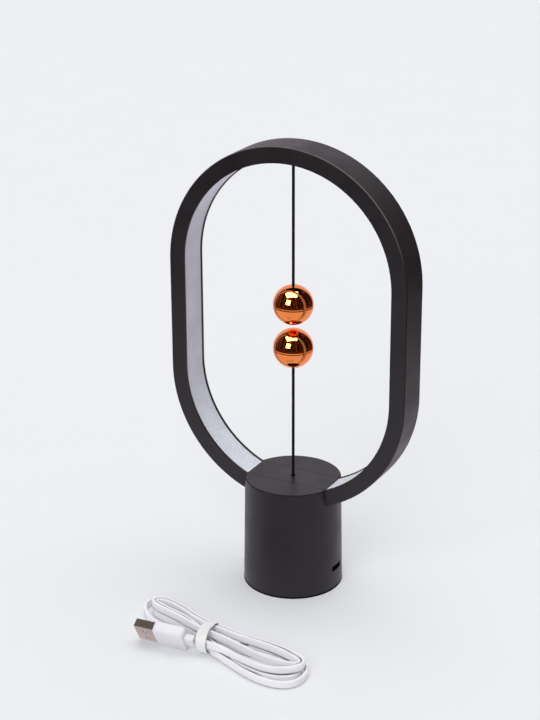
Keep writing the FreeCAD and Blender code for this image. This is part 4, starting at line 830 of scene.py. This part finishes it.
class LAMP_OT_stage(bpy.types.Operator):
    """Sets up the camera, the pale floor and background and the soft lamps"""
    bl_idname = "lamp.stage"
    bl_label = "Stage"

    def execute(self, context):
        sizes, hues, stage = settings()
        context.scene.view_settings.view_transform = "Standard"
        self.add_camera(context, stage)
        self.add_floor(sizes, hues, stage)
        self.add_world(context, hues, stage)
        mirrors = bpy.data.collections.new("mirrors")
        dull = bpy.data.collections.new("dull_pieces")
        dull.children.link(mirrors)
        # the mirrors show two softboxes, and everything but them the ceiling
        dull.collection_children[0].light_linking.link_state = "EXCLUDE"
        self.add_light(stage, "key_light", stage.key, turn=(150.0, 74.0), softness=60.0)
        self.add_light(stage, "fill_light", stage.fill, turn=(-20.0, 36.0), softness=40.0)
        for name, energy, receivers, place, size in (
                ("overhead_card", stage.shine, mirrors, (-0.25, -0.30, 1.66), (1.65, 1.05)),
                ("window_card", stage.shine, mirrors, (-0.73, -1.12, 0.84), (0.62, 0.68)),
                ("ceiling_card", stage.ceiling, dull, (0.0, 0.0, 1.75), (2.2, 2.2))):
            self.add_card(stage, name, energy, receivers, place, size)
        return {"FINISHED"}

    def add_camera(self, context, stage):
        """Camera from its azimuth, elevation, roll and place."""
        back = toward(stage.azimuth, stage.elevation)
        level = Vector((math.cos(stage.azimuth), math.sin(stage.azimuth), 0))
        upward = back.cross(level)
        across = level * math.cos(stage.roll) + upward * math.sin(stage.roll)
        rise = upward * math.cos(stage.roll) - level * math.sin(stage.roll)
        turn = Matrix((across, rise, back)).transposed().to_4x4()
        data = bpy.data.cameras.new("camera")
        data.lens = stage.lens
        camera = linked("camera", data)
        camera.matrix_world = Matrix.Translation(stage.position) @ turn
        context.scene.camera = camera

    def add_floor(self, sizes, hues, stage):
        """Pale disc that the camera sees partly in the background's own tone: even, yet it takes a shadow.

        In gloss it is a table's worth of pale round the lamp and behind it, and dark beyond.
        """
        material, tree = blank_material("painted_floor")
        place = add_node(tree, "TexCoord").outputs["Object"]
        grain = add_node(tree, "TexNoise", {"Vector": place, "Scale": per_mm(FLOOR_GRAIN), "Detail": 2.0})
        tone = add_node(tree, "MixRGB", {"Fac": grain, "Color1": linear(tint(hues.backdrop, FLOOR_DARK)),
                                         "Color2": linear(tint(hues.backdrop, FLOOR_LIGHT))})
        lit = add_node(tree, "BsdfPrincipled", {"Base Color": tone, "Roughness": 0.9})
        lit.inputs["Specular IOR Level"].default_value = 0.1
        reach = add_node(tree, "VectorMath", {0: place}, operation="LENGTH")
        far = add_node(tree, "MapRange", {"Value": reach.outputs["Value"], **TABLE_EDGE})
        outward = add_node(tree, "VectorMath", {0: place}, operation="NORMALIZE")
        front = add_node(tree, "Math", {0: 1.0, 1: self.add_behind(tree, outward, stage)},
                         operation="SUBTRACT")
        edge = add_node(tree, "Math", {0: far, 1: front}, operation="MULTIPLY")
        ray = add_node(tree, "LightPath")
        table = add_node(tree, "MixRGB",
                         {"Fac": edge, "Color1": linear(hues.gloss), "Color2": linear(hues.room)})
        shown = add_node(tree, "MixRGB",
                         {"Fac": ray.outputs["Is Glossy Ray"], "Color1": tone, "Color2": table})
        glow = add_node(tree, "Emission", {"Color": shown})
        part = add_node(tree, "Math", {0: ray.outputs["Is Camera Ray"], 1: OWN_TONE}, operation="MULTIPLY")
        share = add_node(tree, "Math", {0: part, 1: ray.outputs["Is Glossy Ray"]}, operation="MAXIMUM")
        mix = add_node(tree, "MixShader", {0: share, 1: lit, 2: glow})
        add_node(tree, "OutputMaterial", {"Surface": mix})
        mesh = bpy.data.meshes.new("floor")
        made = bmesh.new()
        bmesh.ops.create_circle(made, cap_ends=True, radius=sizes.floor_size, segments=96)
        made.to_mesh(mesh)
        made.free()
        mesh.materials.append(material)
        linked("floor", mesh)

    def add_behind(self, tree, direction, stage):
        """Gives 1 for directions behind the lamp as the camera stands, 0 for the rest, with a soft edge."""
        back = -toward(stage.azimuth, -math.radians(BEHIND_ELEVATION))
        facing = add_node(tree, "VectorMath", {0: direction, 1: tuple(back)}, operation="DOT_PRODUCT")
        return add_node(tree, "MapRange", {"Value": facing.outputs["Value"], **BEHIND_EDGE})

    def add_world(self, context, hues, stage):
        """Even light, the background for the camera, and for gloss a pale back and a dim room elsewhere.

        The room holds soft upright shapes, lighter and darker, for the things that stand in it.
        """
        world = bpy.data.worlds.new("studio")
        context.scene.world = world
        world.use_nodes = True
        tree = world.node_tree
        tree.nodes.clear()
        ray = add_node(tree, "LightPath")
        place = add_node(tree, "TexCoord").outputs["Generated"]
        upright = add_node(tree, "Mapping", {"Vector": place, "Scale": THINGS_STRETCH})
        things = add_node(tree, "TexNoise", {"Vector": upright, "Scale": 1.0, "Detail": 2.0})
        clear = add_node(tree, "MapRange", {"Value": things, **THINGS_RANGE})
        room = add_node(tree, "MixRGB", {"Fac": clear, "Color1": linear(tint(hues.room, ROOM_DARK)),
                                         "Color2": linear(tint(hues.room, ROOM_LIGHT))})
        gloss = add_node(tree, "MixRGB", {"Fac": self.add_behind(tree, place, stage), "Color1": room,
                                          "Color2": linear(hues.gloss)})
        shown = add_node(tree, "MixRGB", {"Fac": ray.outputs["Is Glossy Ray"],
                                          "Color1": linear(hues.backdrop), "Color2": gloss})
        backdrop = add_node(tree, "Background", {"Color": shown})
        ambient = add_node(tree, "Background", {"Color": linear(AMBIENT_WHITE), "Strength": stage.ambient})
        first = add_node(tree, "Math", {0: ray.outputs["Is Camera Ray"], 1: ray.outputs["Is Glossy Ray"]},
                         operation="MAXIMUM")
        seen = add_node(tree, "Math", {0: first, 1: ray.outputs["Is Transmission Ray"]}, operation="MAXIMUM")
        mix = add_node(tree, "MixShader", {0: seen, 1: ambient, 2: backdrop})
        add_node(tree, "OutputWorld", {"Surface": mix})

    def add_light(self, stage, name, energy, turn, softness):
        """Far light of a wide angle, from an azimuth counted from the camera's and an elevation, in degrees.

        Gloss sees cards instead.
        """
        data = bpy.data.lights.new(name, "SUN")
        data.angle = math.radians(softness)
        data.energy = energy
        light = linked(name, data)
        away = toward(stage.azimuth + math.radians(turn[0]), math.radians(turn[1]))
        light.matrix_world = Matrix.Translation(away) @ (-away).to_track_quat("-Z", "Y").to_matrix().to_4x4()
        light.visible_glossy = False

    def add_card(self, stage, name, energy, receivers, place, size):
        """Card that gloss sees in place of a softbox, facing the balls, and level across for the camera.

        Its place is (across, away, up) as the camera looks, and the receivers are the pieces that show it.
        """
        material, tree = blank_material(name)
        glow = add_node(tree, "Emission", {"Color": linear(CARD_WHITE), "Strength": energy})
        add_node(tree, "OutputMaterial", {"Surface": glow})
        balls = Vector((0, 0, BALLS_HEIGHT))
        place = Vector(place)
        steep = abs(place.z - balls.z) > math.hypot(place.x, place.y)
        across = Vector((1, 0, 0)) if steep else Vector((0, 0, 1)).cross(place - balls).normalized()
        along = Vector((0, 1, 0)) if steep else (place - balls).cross(across).normalized()
        wide, high = across * size[0] / 2, along * size[1] / 2
        corners = [place - wide - high, place + wide - high, place + wide + high, place - wide + high]
        mesh = bpy.data.meshes.new(name)
        mesh.from_pydata([tuple(corner) for corner in corners], [], [(0, 1, 2, 3)])
        mesh.transform(Matrix.Rotation(stage.azimuth, 4, "Z"))
        mesh.materials.append(material)
        card = linked(name, mesh)
        for sight in ("visible_camera", "visible_diffuse", "visible_transmission", "visible_shadow"):
            setattr(card, sight, False)
        card.light_linking.receiver_collection = receivers


# -------- panel and run


OPERATORS = (LAMP_OT_stage, LAMP_OT_finishes, LAMP_OT_cable, LAMP_OT_balls, LAMP_OT_strings, LAMP_OT_foot)


class LAMP_PT_pieces(bpy.types.Panel):
    """Lists the lamp's operators and settings"""
    bl_idname = "LAMP_PT_pieces"
    bl_label = "Balance Lamp"
    bl_space_type = "VIEW_3D"
    bl_region_type = "UI"
    bl_category = "Balance Lamp"

    def draw(self, context):
        for operator in OPERATORS:
            self.layout.operator(operator.bl_idname)
        for group in settings():
            for name in group.bl_rna.properties.keys():
                if name not in ("name", "rna_type"):
                    self.layout.prop(group, name)


CLASSES = (*SETTINGS.values(), *OPERATORS, LAMP_PT_pieces)


def register():
    for cls in CLASSES:
        bpy.utils.register_class(cls)
    for name, group in SETTINGS.items():
        setattr(bpy.types.Scene, name, bpy.props.PointerProperty(type=group))


def unregister():
    for name in SETTINGS:
        delattr(bpy.types.Scene, name)
    for cls in reversed(CLASSES):
        bpy.utils.unregister_class(cls)


def main():
    """Registers the classes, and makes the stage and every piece."""
    register()
    for step in ("stage", "finishes", "cable", "balls", "strings", "foot"):
        getattr(bpy.ops.lamp, step)()


if __name__ == "__main__":
    main()
